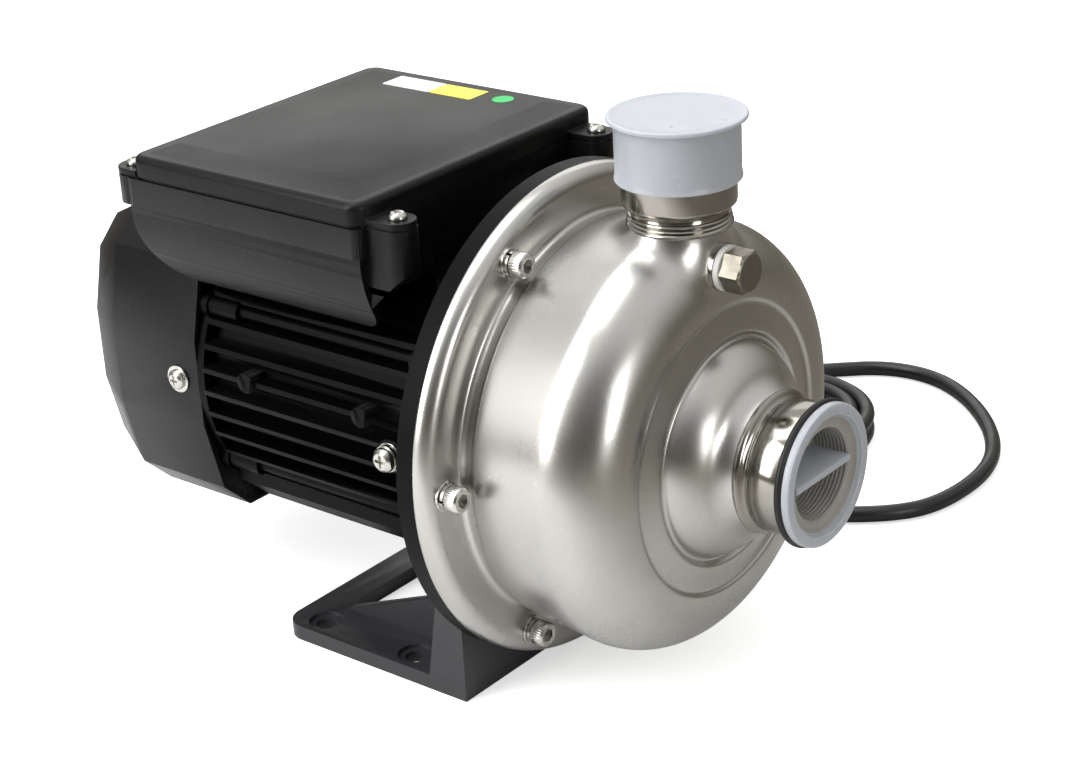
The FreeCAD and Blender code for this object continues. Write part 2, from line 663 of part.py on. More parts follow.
def rear_end_shield():
    plate_back = FRAME_BACK_X - SHIELD_PLATE
    hub = REAR_BEARING_R + 5.5
    end = SHIELD_BACK_X - 3.0
    body = turned((FRAME_BACK_X, FIN_TIP_R - 1.0), (plate_back, FIN_TIP_R - 1.0), (plate_back, SHIELD_RIM_R),
                  (SHIELD_BACK_X, SHIELD_RIM_R), (SHIELD_BACK_X, SHIELD_RIM_R - 5.0),
                  (plate_back - 2.0, WINDING_OUTER_R), (plate_back - 2.0, hub), (end, hub),
                  (end, FAN_SHAFT_R + 1.5), (SHIELD_BACK_X, FAN_SHAFT_R + 1.5),
                  (REAR_BEARING_BACK_X, REAR_BEARING_R), (REAR_BEARING_X, REAR_BEARING_R),
                  (REAR_BEARING_X, hub), (plate_back + 1.5, hub), (plate_back + 1.5, WINDING_OUTER_R),
                  (FRAME_BACK_X, FRAME_BORE_R))
    lugs = [rod(plate_back, FRAME_BACK_X, TIE_BOLT_R + 3.0, y, z) for y, z in tie_bolt_places()]
    boss = cross_rod(COVER_SCREW_X, 0, SHIELD_RIM_R - 12.0, COVER_HALF_WIDTH - COVER_WALL, SHIELD_BOSS_R)
    arm = block(COVER_SCREW_X - SHIELD_BOSS_R, SHIELD_BACK_X + 4.0, SHIELD_RIM_R - 12.0, SHIELD_RIM_R - 4.5,
                -SHIELD_BOSS_R, SHIELD_BOSS_R)
    body = fused([body] + lugs + both_sides(boss) + both_sides(arm))
    for y, z in tie_bolt_places():
        body = body.cut(rod(plate_back - 1, FRAME_BACK_X + 1, TIE_BOLT_R + SCREW_GAP / 2, y, z))
        body = body.cut(rod(SHIELD_BACK_X - 1, plate_back, TIE_HEAD_R + SCREW_GAP, y, z))
    for hole in both_sides(cross_rod(COVER_SCREW_X, 0, SHIELD_RIM_R - 13.0, COVER_HALF_WIDTH, LID_SCREW_R)):
        body = body.cut(hole)
    return body


def tie_bolts():
    bolts = []
    head = FRAME_BACK_X - SHIELD_PLATE
    for y, z in tie_bolt_places():
        shank = rod(head, BRACKET_COLLAR_X, TIE_BOLT_R, y, z)
        cap = rod(head - TIE_HEAD, head, TIE_HEAD_R, y, z)
        bolts.append(shank.fuse(cap))
    return group(bolts)


def bearing(back, width, outer, bore, ball):
    """Outer ring, inner ring and balls of one deep-groove bearing."""
    pitch = (outer + bore) / 2.0
    gap = RUNNING_FIT
    outer_ring = tube(back, back + width, outer, pitch + ball + gap)
    inner_ring = tube(back, back + width, pitch - ball - gap, bore)
    one = Part.makeSphere(ball, V(back + width / 2.0, 0, pitch))
    return outer_ring, inner_ring, around(one, BALLS)


def both_bearings():
    front = bearing(FRONT_BEARING_BACK_X, FRONT_BEARING_WIDTH, FRONT_BEARING_R,
                    FRONT_BEARING_BORE_R, FRONT_BALL_R)
    rear = bearing(REAR_BEARING_BACK_X, REAR_BEARING_WIDTH, REAR_BEARING_R,
                   REAR_BEARING_BORE_R, REAR_BALL_R)
    return front, rear


def pump_shaft():
    """Stepped shaft from the fan at the back to the impeller's stud."""
    fan_end = FAN_FRONT_X - FAN_WIDTH - 2.0
    shaft = turned((fan_end, 0), (fan_end, FAN_SHAFT_R - 1), (fan_end + 1, FAN_SHAFT_R),
                  (REAR_BEARING_BACK_X, FAN_SHAFT_R), (REAR_BEARING_BACK_X, REAR_BEARING_BORE_R),
                  (REAR_BEARING_X, REAR_BEARING_BORE_R), (REAR_BEARING_X, ROTOR_SHAFT_R),
                  (FRONT_BEARING_BACK_X, ROTOR_SHAFT_R), (FRONT_BEARING_BACK_X, FRONT_BEARING_BORE_R),
                  (FRONT_BEARING_X, FRONT_BEARING_BORE_R), (FRONT_BEARING_X, SEAL_SHAFT_R),
                  (HUB_END_X, SEAL_SHAFT_R), (HUB_END_X, STUD_R), (HUB_END_X + NUT_LENGTH + 3.0, STUD_R),
                  (HUB_END_X + NUT_LENGTH + 4.0, STUD_R - 1), (HUB_END_X + NUT_LENGTH + 4.0, 0))
    return shaft.cut(impeller_key())


def rotor_core():
    r = ROTOR_BORE_R - AIR_GAP
    ring = 6.0
    return turned((CORE_BACK_X - ring, ROTOR_SHAFT_R + 8.0), (CORE_BACK_X - ring, r - 1.5), (CORE_BACK_X, r - 1.5),
                  (CORE_BACK_X, r), (CORE_FRONT_X, r), (CORE_FRONT_X, r - 1.5), (CORE_FRONT_X + ring, r - 1.5),
                  (CORE_FRONT_X + ring, ROTOR_SHAFT_R + 8.0), (CORE_FRONT_X, ROTOR_SHAFT_R + 8.0),
                  (CORE_FRONT_X, ROTOR_SHAFT_R), (CORE_BACK_X, ROTOR_SHAFT_R), (CORE_BACK_X, ROTOR_SHAFT_R + 8.0))


def impeller():
    """Closed impeller: hub and back shroud, swept blades, and a front shroud with its eye ring."""
    back = IMPELLER_BACK_X
    disc = back + SHROUD
    rim = disc + 6.0
    throat = EYE_END_X - 8.0
    rear = turned((HUB_START_X, SEAL_SHAFT_R), (HUB_START_X, HUB_R), (back, HUB_R + 2.0), (back, IMPELLER_R),
                  (disc, IMPELLER_R), (disc, HUB_R + 6.0), (HUB_END_X, HUB_R - 2.0), (HUB_END_X, SEAL_SHAFT_R))
    front = turned((rim, IMPELLER_R), (rim + SHROUD, IMPELLER_R), (throat + SHROUD, EYE_R + 4.0),
                   (EYE_END_X - 3.0, EYE_R), (EYE_END_X, EYE_R), (EYE_END_X, EYE_BORE_R),
                   (throat + 2.0, EYE_BORE_R), (throat, EYE_R + 4.0))
    root = SHROUD / 2
    channel = turned((disc - root, HUB_R + 4.0), (disc - root, IMPELLER_R - 1.0), (rim + root, IMPELLER_R - 1.0),
                     (throat + root, EYE_R + 5.0), (throat + root, HUB_R + 10.0), (disc + 4.0, HUB_R + 4.0))
    inner = V(0, 0, HUB_R + 5.0)
    middle = V(0, 22.0, 38.0)
    tip = V(0, 54.0, math.sqrt((IMPELLER_R + 2.0) ** 2 - 54.0 ** 2))
    shift = V(0, -BLADE_THICK * 0.7, BLADE_THICK * 0.7)
    pressure = Part.Arc(inner, middle, tip).toShape()
    far = Part.Arc(tip + shift, middle + shift, inner + shift).toShape()
    ends = [Part.LineSegment(tip, tip + shift).toShape(), Part.LineSegment(inner + shift, inner).toShape()]
    blade = Part.Face(Part.Wire([pressure, ends[0], far, ends[1]])).extrude(V(throat - disc + 6.0, 0, 0))
    blade.translate(V(disc - 2.0, 0, 0))
    blade = blade.common(channel)
    return fused([rear, front] + around(blade, BLADES)).cut(impeller_key())


def impeller_key():
    """Key half sunk in the shaft and half in the hub; its outline is also the seat in both."""
    half = KEY_WIDTH / 2
    return block(IMPELLER_BACK_X, HUB_END_X - 2.0, -half, half, SEAL_SHAFT_R - half, SEAL_SHAFT_R + half)


def impeller_nut():
    nut = hexagon(NUT_FLATS, NUT_LENGTH, V(HUB_END_X, 0, 0), ALONG)
    dome = turned((HUB_END_X, 0), (HUB_END_X, NUT_FLATS / 2 + 1.2), (HUB_END_X + NUT_LENGTH, NUT_FLATS / 2 + 0.2),
                  (HUB_END_X + NUT_LENGTH, 0))
    return nut.common(dome).cut(rod(HUB_END_X - 1, HUB_END_X + NUT_LENGTH + 1, STUD_R))


def seal_seat():
    start = SEAL_PLATE_CROWN_X - 9.0
    return tube(start, SEAL_PLATE_CROWN_X - 2.0, SEAT_R, SEAL_SHAFT_R + 1.0)


def seal_face():
    start = SEAL_PLATE_CROWN_X - 2.0 + RUNNING_FIT
    end = start + 5.0
    return turned((start, SEAL_SHAFT_R), (start, SEAT_R - 2.5), (start + 1.5, SEAT_R - 1.0),
                  (end, SEAT_R - 1.0), (end, SEAL_SHAFT_R))


def seal_spring():
    """Bellows and spring, drawn as the stack of coils they close up to."""
    start = SEAL_PLATE_CROWN_X + 3.0 + RUNNING_FIT
    length = HUB_START_X - start
    turns = 4
    wire = length / turns
    coils = [tube(start, HUB_START_X, SEAL_SHAFT_R + 2.0, SEAL_SHAFT_R)]
    for i in range(turns):
        coils.append(Part.makeTorus(SEAL_SHAFT_R + 2.4, wire * 0.42, V(start + wire * (i + 0.5), 0, 0), ALONG))
    return fused(coils)


def deflector_ring():
    """Rubber ring on the shaft that throws off what leaks past the seal."""
    start = BRACKET_WEB_X + 1.0
    return turned((start, SEAL_SHAFT_R), (start, SEAL_SHAFT_R + 9.0), (start + 1.2, SEAL_SHAFT_R + 9.0),
                  (start + 2.5, SEAL_SHAFT_R + 4.0), (start + 6.0, SEAL_SHAFT_R + 4.0), (start + 6.0, SEAL_SHAFT_R))


def cover_corners(share, wall):
    """The fan cover's outline as (y, z) corners, shrunk to a share and drawn in by a wall."""
    quarter = [(COVER_HALF_WIDTH, COVER_FLAT_HALF), (COVER_SIDE_Y, COVER_SIDE_Z),
               (COVER_CORNER_Y, COVER_HALF_HEIGHT)]
    right = [(y * share - wall, z * share - (0 if i == 0 else wall)) for i, (y, z) in enumerate(quarter)]
    top = right + [(-y, z) for y, z in reversed(right)]
    return top + [(-y, -z) for y, z in top]


def cover_form(wall):
    """Solid inside the fan cover's outer skin, or inside its wall."""
    def ring(x, share):
        corners = cover_corners(share, wall)
        return Part.makePolygon([V(x, y, z) for y, z in corners + corners[:1]])
    straight = Part.Face(ring(COVER_FRONT_X, 1.0)).extrude(V(COVER_BEND_X - COVER_FRONT_X, 0, 0))
    tail = Part.makeLoft([ring(COVER_BEND_X, 1.0), ring(COVER_BACK_X + wall, COVER_BACK_SHARE)], True, True)
    return straight.fuse(tail)


def fan_cover():
    shell = cover_form(0.0).cut(cover_form(COVER_WALL))
    disc = rod(COVER_BACK_X - 1, COVER_BACK_X + COVER_WALL + 1, GRILLE_R)
    hub = rod(COVER_BACK_X - 2, COVER_BACK_X + COVER_WALL + 2, 8.0)
    rows = int(GRILLE_R / GRILLE_PITCH)
    slots = []
    for i in range(-rows, rows + 1):
        z = i * GRILLE_PITCH
        bar = block(COVER_BACK_X - 1, COVER_BACK_X + COVER_WALL + 1, -GRILLE_R, GRILLE_R,
                    z - GRILLE_SLOT / 2, z + GRILLE_SLOT / 2)
        for side in (block(COVER_BACK_X - 2, COVER_BACK_X + 4, 2.0, GRILLE_R, -GRILLE_R, GRILLE_R),
                     block(COVER_BACK_X - 2, COVER_BACK_X + 4, -GRILLE_R, -2.0, -GRILLE_R, GRILLE_R)):
            slots.append(bar.common(disc).common(side).cut(hub))
    shell = shell.cut(group(slots))
    for hole in both_sides(cross_rod(COVER_SCREW_X, 0, COVER_HALF_WIDTH - 4, COVER_HALF_WIDTH + 1,
                                     LID_SCREW_R + SCREW_GAP)):
        shell = shell.cut(hole)
    return shell


def cover_screw():
    """Washer-head screw with a domed top."""
    r = COVER_SCREW_HEAD_R
    face = COVER_HALF_WIDTH
    profile = outline((0, face), [(r, face), (r, face + 0.9), (r - 1.8, face + 1.0),
                                  ((r * 0.45, face + 2.7), (r * 0.2, face + 3.2)), (0, face + 3.2)])
    head = profile.revolve(V(0, 0, 0), UP, 360)
    head.rotate(V(0, 0, 0), ALONG, -90)
    head.translate(V(COVER_SCREW_X, 0, 0))
    return head.fuse(cross_rod(COVER_SCREW_X, 0, SHIELD_RIM_R - 10.0, face, LID_SCREW_R))


def cooling_fan():
    """Moulded radial fan: hub, thin disc and straight blades."""
    front = FAN_FRONT_X
    back = front - FAN_WIDTH
    hub = rod(back, front, FAN_SHAFT_R + 5.0)
    disc = rod(front - 2.0, front, FAN_R - 4.0)
    blade = block(back + 3.0, front, -1.0, 1.0, FAN_SHAFT_R + 3.0, FAN_R)
    fan = fused([hub, disc] + around(blade, FAN_BLADES))
    return fan.cut(rod(back - 1, front + 1, FAN_SHAFT_R))


def box_section(wall):
    """The terminal box's cross-section below its rim, as a face, drawn in by a wall."""
    top = BOX_RIM_TOP
    points = []
    for side in (1, -1):
        points.append((side * (BOX_HALF_WIDTH - wall), top))
        points.append((side * (BOX_HALF_WIDTH - wall), top - BOX_RIM_DEEP))
        points.append((side * (SKIRT_BULGE_Y - wall), SKIRT_BULGE_Z))
        points.append((side * (SKIRT_HALF_WIDTH - wall), SKIRT_BOTTOM))
    edges = []
    right = [V(0, y, z) for y, z in points[:4]]
    left = [V(0, y, z) for y, z in points[4:]]
    edges.append(Part.LineSegment(right[0], right[1]).toShape())
    edges.append(Part.Arc(right[1], right[2], right[3]).toShape())
    edges.append(Part.LineSegment(right[3], left[3]).toShape())
    edges.append(Part.Arc(left[3], left[2], left[1]).toShape())
    edges.append(Part.LineSegment(left[1], left[0]).toShape())
    edges.append(Part.LineSegment(left[0], right[0]).toShape())
    return Part.Face(Part.Wire(edges))


def box_side_limit():
    """Side view of the box: its lower corners are rounded, the rear one widely."""
    body = block(BOX_BACK_X, BOX_FRONT_X, -BOX_HALF_WIDTH - 9, BOX_HALF_WIDTH + 9, SKIRT_BOTTOM, BOX_RIM_TOP)
    low_back = [e for e in body.Edges if e.BoundBox.ZMax < SKIRT_BOTTOM + 0.1 and e.BoundBox.XMax < BOX_BACK_X + 0.1]
    body = body.makeFillet(BOX_CORNER_R, low_back)
    low_front = [e for e in body.Edges if e.BoundBox.ZMax < SKIRT_BOTTOM + 0.1
                 and e.BoundBox.XMin > BOX_FRONT_X - 0.1]
    return body.makeFillet(9.0, low_front)


def ear_places():
    return [(FRONT_EAR_X, FRONT_EAR_Y), (FRONT_EAR_X, -FRONT_EAR_Y),
            (BACK_EAR_X, BACK_EAR_Y), (BACK_EAR_X, -BACK_EAR_Y)]


def terminal_box_base():
    """Saddle-shaped box: closed floor over the motor, skirts hanging down its sides."""
    length = BOX_FRONT_X - BOX_BACK_X
    outer = box_section(0).extrude(V(length, 0, 0))
    outer.translate(V(BOX_BACK_X, 0, 0))
    outer = outer.common(box_side_limit())
    rim = level_plate(BOX_BACK_X - BOX_RIM_PROUD, BOX_FRONT_X + BOX_RIM_PROUD, BOX_HALF_WIDTH + BOX_RIM_PROUD,
                      BOX_RIM_TOP - BOX_RIM_DEEP, BOX_RIM_TOP, 4.0)
    column = side_plate([(BOX_FRONT_X - 1, SKIRT_BOTTOM + 10), (FRONT_EAR_X + EAR_R, BOX_RIM_TOP - 17),
                         (FRONT_EAR_X + EAR_R, BOX_RIM_TOP), (BOX_FRONT_X - 1, BOX_RIM_TOP)],
                        FRONT_EAR_Y - EAR_R, FRONT_EAR_Y + EAR_R)
    corner = [e for e in column.Edges if e.BoundBox.XMin > FRONT_EAR_X + EAR_R - 0.1 and e.BoundBox.ZLength > 5]
    column = column.makeFillet(EAR_R - 0.3, corner)
    ear = post(BACK_EAR_X, BACK_EAR_Y, BOX_RIM_TOP - BOX_RIM_DEEP, BOX_RIM_TOP, EAR_R)
    body = fused([outer, rim] + both_sides(column) + both_sides(ear))
    room = level_plate(BOX_BACK_X + BOX_WALL, BOX_FRONT_X - BOX_WALL, BOX_HALF_WIDTH - BOX_WALL,
                       FLOOR_TOP, BOX_RIM_TOP + 1, 8.0)
    for keep in both_sides(post(BACK_EAR_X, BACK_EAR_Y, FLOOR_TOP - 1, BOX_RIM_TOP + 2, EAR_R)):
        room = room.cut(keep)
    body = body.cut(room)
    below = box_section(BOX_WALL).extrude(V(length + 20, 0, 0))
    below.translate(V(BOX_BACK_X - 10, 0, 0))
    below = below.common(block(BOX_BACK_X - 10, BOX_FRONT_X + 10, -BOX_HALF_WIDTH, BOX_HALF_WIDTH,
                               SKIRT_BOTTOM - 1, PAD_TOP))
    body = body.cut(below)
    for x, y in ear_places():
        body = body.cut(post(x, y, BOX_RIM_TOP - LID_SCREW_DEEP, BOX_RIM_TOP + 1, LID_SCREW_R))
    for x, y in box_screw_places():
        body = body.cut(post(x, y, PAD_TOP - 1, FLOOR_TOP + 1, LID_SCREW_R + SCREW_GAP))
    body = body.cut(post(CORE_FRONT_X - 10.0, 0, PAD_TOP - 1, FLOOR_TOP + 1, WIRE_HOLE_R))
    return body.cut(cross_rod(GLAND_X, GLAND_Z, BOX_HALF_WIDTH - 10, BOX_HALF_WIDTH + 3, GLAND_R))


def lid_ears(z0, z1):
    ears = []
    for x, y in ear_places():
        ear = post(x, y, z0, z1, EAR_R)
        edge = LID_FRONT_X - 3 if x == FRONT_EAR_X else LID_BACK_X + 3
        bridge = block(min(x, edge), max(x, edge), y - EAR_R, y + EAR_R, z0, z1)
        ears.append(ear.fuse(bridge))
    return ears


def terminal_box_gasket():
    """Flat seal under the lid's edge and round its screws."""
    z0, z1 = BOX_RIM_TOP, BOX_RIM_TOP + GASKET
    outer = level_plate(LID_BACK_X + 1, LID_FRONT_X - 1, LID_HALF_WIDTH - 1, z0, z1, LID_CORNER_R)
    inner = level_plate(LID_BACK_X + 5, LID_FRONT_X - 5, LID_HALF_WIDTH - 5, z0 - 1, z1 + 1, LID_CORNER_R - 3)
    ears = [post(x, y, z0, z1, EAR_R - 1) for x, y in ear_places()]
    for x, y in ear_places():
        edge = LID_FRONT_X - 3 if x == FRONT_EAR_X else LID_BACK_X + 3
        ears.append(block(min(x, edge), max(x, edge), y - EAR_R + 1, y + EAR_R - 1, z0, z1))
    seal = fused([outer.cut(inner)] + [ear.cut(inner) for ear in ears])
    for x, y in ear_places():
        seal = seal.cut(post(x, y, z0 - 1, z1 + 1, LID_SCREW_R + SCREW_GAP))
    return seal


def terminal_box_lid():
    """Drawn-in lid with a raised plateau, hollow below, and four screw ears."""
    low = level_plate(LID_BACK_X, LID_FRONT_X, LID_HALF_WIDTH, LID_BOTTOM, LID_SHOULDER, LID_CORNER_R)
    top_edges = [e for e in low.Edges if e.BoundBox.ZMin > LID_SHOULDER - 0.1]
    low = low.makeFillet(3.0, top_edges)
    base = lid_ring(PLATEAU_INSET - 9.0, LID_SHOULDER - 0.02)
    crown = lid_ring(PLATEAU_INSET, LID_SHOULDER + LID_CROWN)
    plateau = Part.makeLoft([base, crown], True, True)
    hollow = level_plate(LID_BACK_X + BOX_WALL, LID_FRONT_X - BOX_WALL, LID_HALF_WIDTH - BOX_WALL,
                         LID_BOTTOM - 1, LID_SHOULDER - BOX_WALL, LID_CORNER_R - BOX_WALL)
    ears = [ear.cut(hollow) for ear in lid_ears(LID_BOTTOM, LID_BOTTOM + EAR_THICK)]
    lid = fused([low, plateau]).cut(hollow)
    lid = fused([lid] + ears)
    for x, y in ear_places():
        lid = lid.cut(post(x, y, LID_BOTTOM - 1, LID_BOTTOM + EAR_THICK + 1, LID_SCREW_R + SCREW_GAP))
    return lid


def lid_ring(inset, z):
    """Rectangular wire on the lid, inset from its edge."""
    x0, x1, y = LID_BACK_X + inset, LID_FRONT_X - inset, LID_HALF_WIDTH - inset
    return Part.makePolygon([V(x0, -y, z), V(x1, -y, z), V(x1, y, z), V(x0, y, z), V(x0, -y, z)])


def pan_screw(x, y, seat, length, r, head_r):
    """Upright pan-head screw whose head sits on the seat height."""
    profile = outline((0, 0), [(head_r, 0), (head_r, 1.0), ((head_r * 0.7, 2.2), (head_r * 0.3, 2.6)), (0, 2.6)])
    head = profile.revolve(V(0, 0, 0), UP, 360)
    head.translate(V(x, y, seat))
    return head.fuse(post(x, y, seat - length, seat, r))


def lid_screws():
    seat = LID_BOTTOM + EAR_THICK
    length = seat - BOX_RIM_TOP + LID_SCREW_DEEP
    return group([pan_screw(x, y, seat, length, LID_SCREW_R, LID_SCREW_HEAD_R) for x, y in ear_places()])


def box_fixing_screws():
    return group([pan_screw(x, y, FLOOR_TOP, BOX_FLOOR + 6.0, LID_SCREW_R, LID_SCREW_HEAD_R)
                  for x, y in box_screw_places()])


def terminal_block():
    """Moulded block with three barriers and two rows of terminals."""
    x = CORE_FRONT_X - 34.0
    body = [block(x - 10, x + 10, -24, 24, FLOOR_TOP, FLOOR_TOP + 7)]
    for i in range(5):
        y = -24 + 11.4 * i
        body.append(block(x - 10, x + 10, y, y + 2.4, FLOOR_TOP + 6, FLOOR_TOP + 14))
    for i in range(4):
        for side in (-5.5, 5.5):
            body.append(post(x + side, -17.1 + 11.4 * i, FLOOR_TOP + 6, FLOOR_TOP + 10, 3.0))
    return fused(body)


def run_capacitor():
    x = BOX_BACK_X + BOX_WALL + 6.0 + CAPACITOR_R + 14.0
    z = FLOOR_TOP + CAPACITOR_R
    can = cross_rod(x, z, -CAPACITOR_LENGTH / 2, CAPACITOR_LENGTH / 2, CAPACITOR_R)
    ends = [e for e in can.Edges if e.BoundBox.YLength < 0.01]
    can = can.makeFillet(2.0, ends)
    stud = cross_rod(x, z, CAPACITOR_LENGTH / 2 - 1, CAPACITOR_LENGTH / 2 + 8, 2.0)
    return can.fuse(stud)


def cable_gland():
    """Hexagonal gland body screwed into the box's far wall."""
    face = BOX_HALF_WIDTH + BOX_RIM_PROUD
    body = hexagon(GLAND_FLATS, GLAND_BODY, V(GLAND_X, face, GLAND_Z), ACROSS)
    thread = cross_rod(GLAND_X, GLAND_Z, BOX_HALF_WIDTH - BOX_WALL - 4.0, face + 1, GLAND_R)
    body = body.fuse(thread)
    return body.cut(cross_rod(GLAND_X, GLAND_Z, BOX_HALF_WIDTH - 20, face + GLAND_BODY + 1, CORD_R + 0.5))


def gland_nut():
    """Domed clamping nut that the cord comes out of."""
    start = BOX_HALF_WIDTH + BOX_RIM_PROUD + GLAND_BODY
    r = GLAND_FLATS / 2
    profile = outline((CORD_R, 0), [(r, 0), (r, GLAND_DOME * 0.55), ((r - 1.0, GLAND_DOME * 0.85),
                                                                     (r - 3.5, GLAND_DOME)), (CORD_R, GLAND_DOME)])
    nut = profile.revolve(V(0, 0, 0), UP, 360)
    nut.rotate(V(0, 0, 0), ALONG, -90)
    nut.translate(V(GLAND_X, start, GLAND_Z))
    flutes = []
    for i in range(12):
        angle = math.radians(30 * i)
        flute = cross_rod(GLAND_X + (r + 0.5) * math.cos(angle), GLAND_Z + (r + 0.5) * math.sin(angle),
                          start + 1.5, start + GLAND_DOME * 0.55, 0.9)
        flutes.append(flute)
    return nut.cut(group(flutes))


def earth_screw():
    """Pan-head earthing screw along -Y, with its two washers made apart."""
    face = EARTH_FACE_Y + 3.4
    profile = outline((0, face), [(EARTH_HEAD_R, face), (EARTH_HEAD_R, face + 1.8),
                                  ((EARTH_HEAD_R * 0.7, face + 3.4), (EARTH_HEAD_R * 0.3, face + 4.0)),
                                  (0, face + 4.0)])
    head = profile.revolve(V(0, 0, 0), UP, 360)
    head.rotate(V(0, 0, 0), ALONG, 90)
    head.translate(V(EARTH_X, 0, EARTH_Z))
    return head.fuse(cross_rod(EARTH_X, EARTH_Z, -face, -FRAME_R - 1.0, EARTH_SCREW_R))


def earth_washers():
    washers = []
    for face, thick, r in ((EARTH_FACE_Y, 1.2, 6.0), (EARTH_FACE_Y + 1.2, 1.0, 4.6), (EARTH_FACE_Y + 2.2, 1.2, 5.6)):
        ring = cross_rod(EARTH_X, EARTH_Z, -face - thick, -face, r)
        washers.append(ring.cut(cross_rod(EARTH_X, EARTH_Z, -face - thick - 1, -face + 1, EARTH_SCREW_R + 0.2)))
    return group(washers)


def foot_hole_places():
    middle = -FLANGE_AHEAD_OF_HOLES
    return [(middle + sx * FOOT_HOLE_SPACING_X / 2, sy * FOOT_HOLE_SPACING_Y / 2)
            for sx in (-1, 1) for sy in (-1, 1)]


def foot():
    """Window plate with a gusseted upright that carries the bracket."""
    front = FOOT_FRONT_X
    back = FOOT_BACK_X
    plate = block(back, front, -FOOT_HALF_WIDTH, FOOT_HALF_WIDTH, FLOOR, FOOT_TOP)
    corners = [e for e in plate.Edges if e.BoundBox.ZLength > 5 and e.BoundBox.XMax < back + 0.1]
    plate = plate.makeFillet(FOOT_CORNER_R, corners)
    window = block(back + FOOT_BAND, front - UPRIGHT_DEEP, -FOOT_HALF_WIDTH + FOOT_RAIL,
                   FOOT_HALF_WIDTH - FOOT_RAIL, FLOOR - 1, FOOT_TOP + 1)
    upright_edges = [e for e in window.Edges if e.BoundBox.ZLength > 5]
    plate = plate.cut(window.makeFillet(4.0, upright_edges))
    wall = block(front - UPRIGHT_WALL, front, -FOOT_HALF_WIDTH, FOOT_HALF_WIDTH, FLOOR, UPRIGHT_TOP)
    cheek = side_plate([(front - UPRIGHT_DEEP, FLOOR), (front - UPRIGHT_DEEP_TOP, UPRIGHT_TOP),
                        (front, UPRIGHT_TOP), (front, FLOOR)], FOOT_HALF_WIDTH - UPRIGHT_WALL, FOOT_HALF_WIDTH)
    inner = FOOT_HALF_WIDTH - FOOT_RAIL
    gusset = side_plate([(back + FOOT_BAND, FOOT_TOP - 1), (front - UPRIGHT_WALL, GUSSET_TOP),
                         (front - UPRIGHT_WALL, FOOT_TOP - 1)], inner, inner + UPRIGHT_WALL)
    body = fused([plate, wall] + both_sides(cheek) + both_sides(gusset))
    cradle = turned((front - 40, 0), (front - 40, BRACKET_CONE_R + CRADLE_GAP),
                    (BRACKET_COLLAR_X, BRACKET_CONE_R + CRADLE_GAP), (front, FLANGE_R - BRACKET_RING + CRADLE_GAP), (front, 0))
    body = body.cut(cradle)
    for x, y in foot_hole_places():
        body = body.cut(post(x, y, FLOOR - 1, FOOT_TOP + 1, FOOT_HOLE_R))
        body = body.cut(post(x, y, FOOT_TOP - FOOT_RECESS, FOOT_TOP + 1, FOOT_RECESS_R))
    for hole in both_sides(rod(front - 40, front + 1, FOOT_SCREW_R + SCREW_GAP, FOOT_SCREW_Y, FOOT_SCREW_Z)):
        body = body.cut(hole)
    return body


def foot_screws():
    seat = FOOT_FRONT_X - UPRIGHT_WALL
    head = hexagon(FOOT_SCREW_FLATS, FOOT_SCREW_HEAD, V(seat - FOOT_SCREW_HEAD, FOOT_SCREW_Y, FOOT_SCREW_Z), ALONG)
    screw = head.fuse(rod(seat, SEAL_PLATE_BACK_X, FOOT_SCREW_R, FOOT_SCREW_Y, FOOT_SCREW_Z))
    return group(both_sides(screw))


def discharge_cap():
    """Push-on cup over the discharge socket with a brim on top."""
    inner = DISCHARGE_SOCKET_R + CAP_FIT
    outer = inner + CAP_WALL
    roof = DISCHARGE_TOP + SLIDE_GAP
    top = roof + CAP_BRIM
    lip = 0.8
    dish = 0.6
    return upright_turned(DISCHARGE_X, (0, roof), (inner, roof), (inner, CAP_SKIRT_BOTTOM),
                          (outer + lip, CAP_SKIRT_BOTTOM), (outer + lip, CAP_SKIRT_BOTTOM + 1.2),
                          (outer, CAP_SKIRT_BOTTOM + 2.4), (outer, roof - 0.6), (CAP_BRIM_R, roof - 0.2),
                          (CAP_BRIM_R, top), (CAP_BRIM_R - 2.0, top), (CAP_BRIM_R - 3.0, top - dish),
                          (0, top - dish))


def suction_plug():
    """Cup-shaped plug with a flange and a grip web across its mouth."""
    r = SUCTION_THREAD_R - CAP_FIT
    inner = r - PLUG_WALL
    seat = SUCTION_END_X + PLUG_WASHER
    front = seat + PLUG_FLANGE
    bottom = seat - PLUG_DEPTH
    cup = turned((bottom, 0), (bottom, r), (seat, r), (seat, PLUG_FLANGE_R), (front - 1.0, PLUG_FLANGE_R),
                 (front, PLUG_FLANGE_R - 1.0), (front, inner + 0.6), (front - 0.6, inner),
                 (bottom + PLUG_WALL, inner), (bottom + PLUG_WALL, 0))
    web = block(bottom + 1.0, front - 1.5, -inner - 0.3, inner + 0.3, -PLUG_WEB / 2, PLUG_WEB / 2)
    return cup.fuse(web)


def suction_plug_washer():
    """Rubber sealing ring under the plug's flange."""
    bore = SUCTION_THREAD_R + 1.3
    start = SUCTION_END_X
    end = start + PLUG_WASHER
    r = PLUG_WASHER_R
    return turned((start, bore), (start, r - 1.2), ((start + PLUG_WASHER / 2, r), (end, r - 1.2)), (end, bore))


def priming_plug():
    seat = PRIMING_BOSS_END_X + PRIMING_WASHER
    head = hexagon(PRIMING_HEX, PRIMING_HEAD, V(seat, 0, 0), ALONG)
    crown = turned((seat, 0), (seat, PRIMING_HEX * 0.58), (seat + PRIMING_HEAD - 1.2, PRIMING_HEX * 0.58),
                   (seat + PRIMING_HEAD, PRIMING_HEX * 0.48), (seat + PRIMING_HEAD, 0))
    plug = head.common(crown)
    plug = plug.fuse(rod(seat - PRIMING_SHANK, seat, PRIMING_THREAD_R - RUNNING_FIT))
    plug.translate(V(0, 0, PRIMING_UP))
    return plug


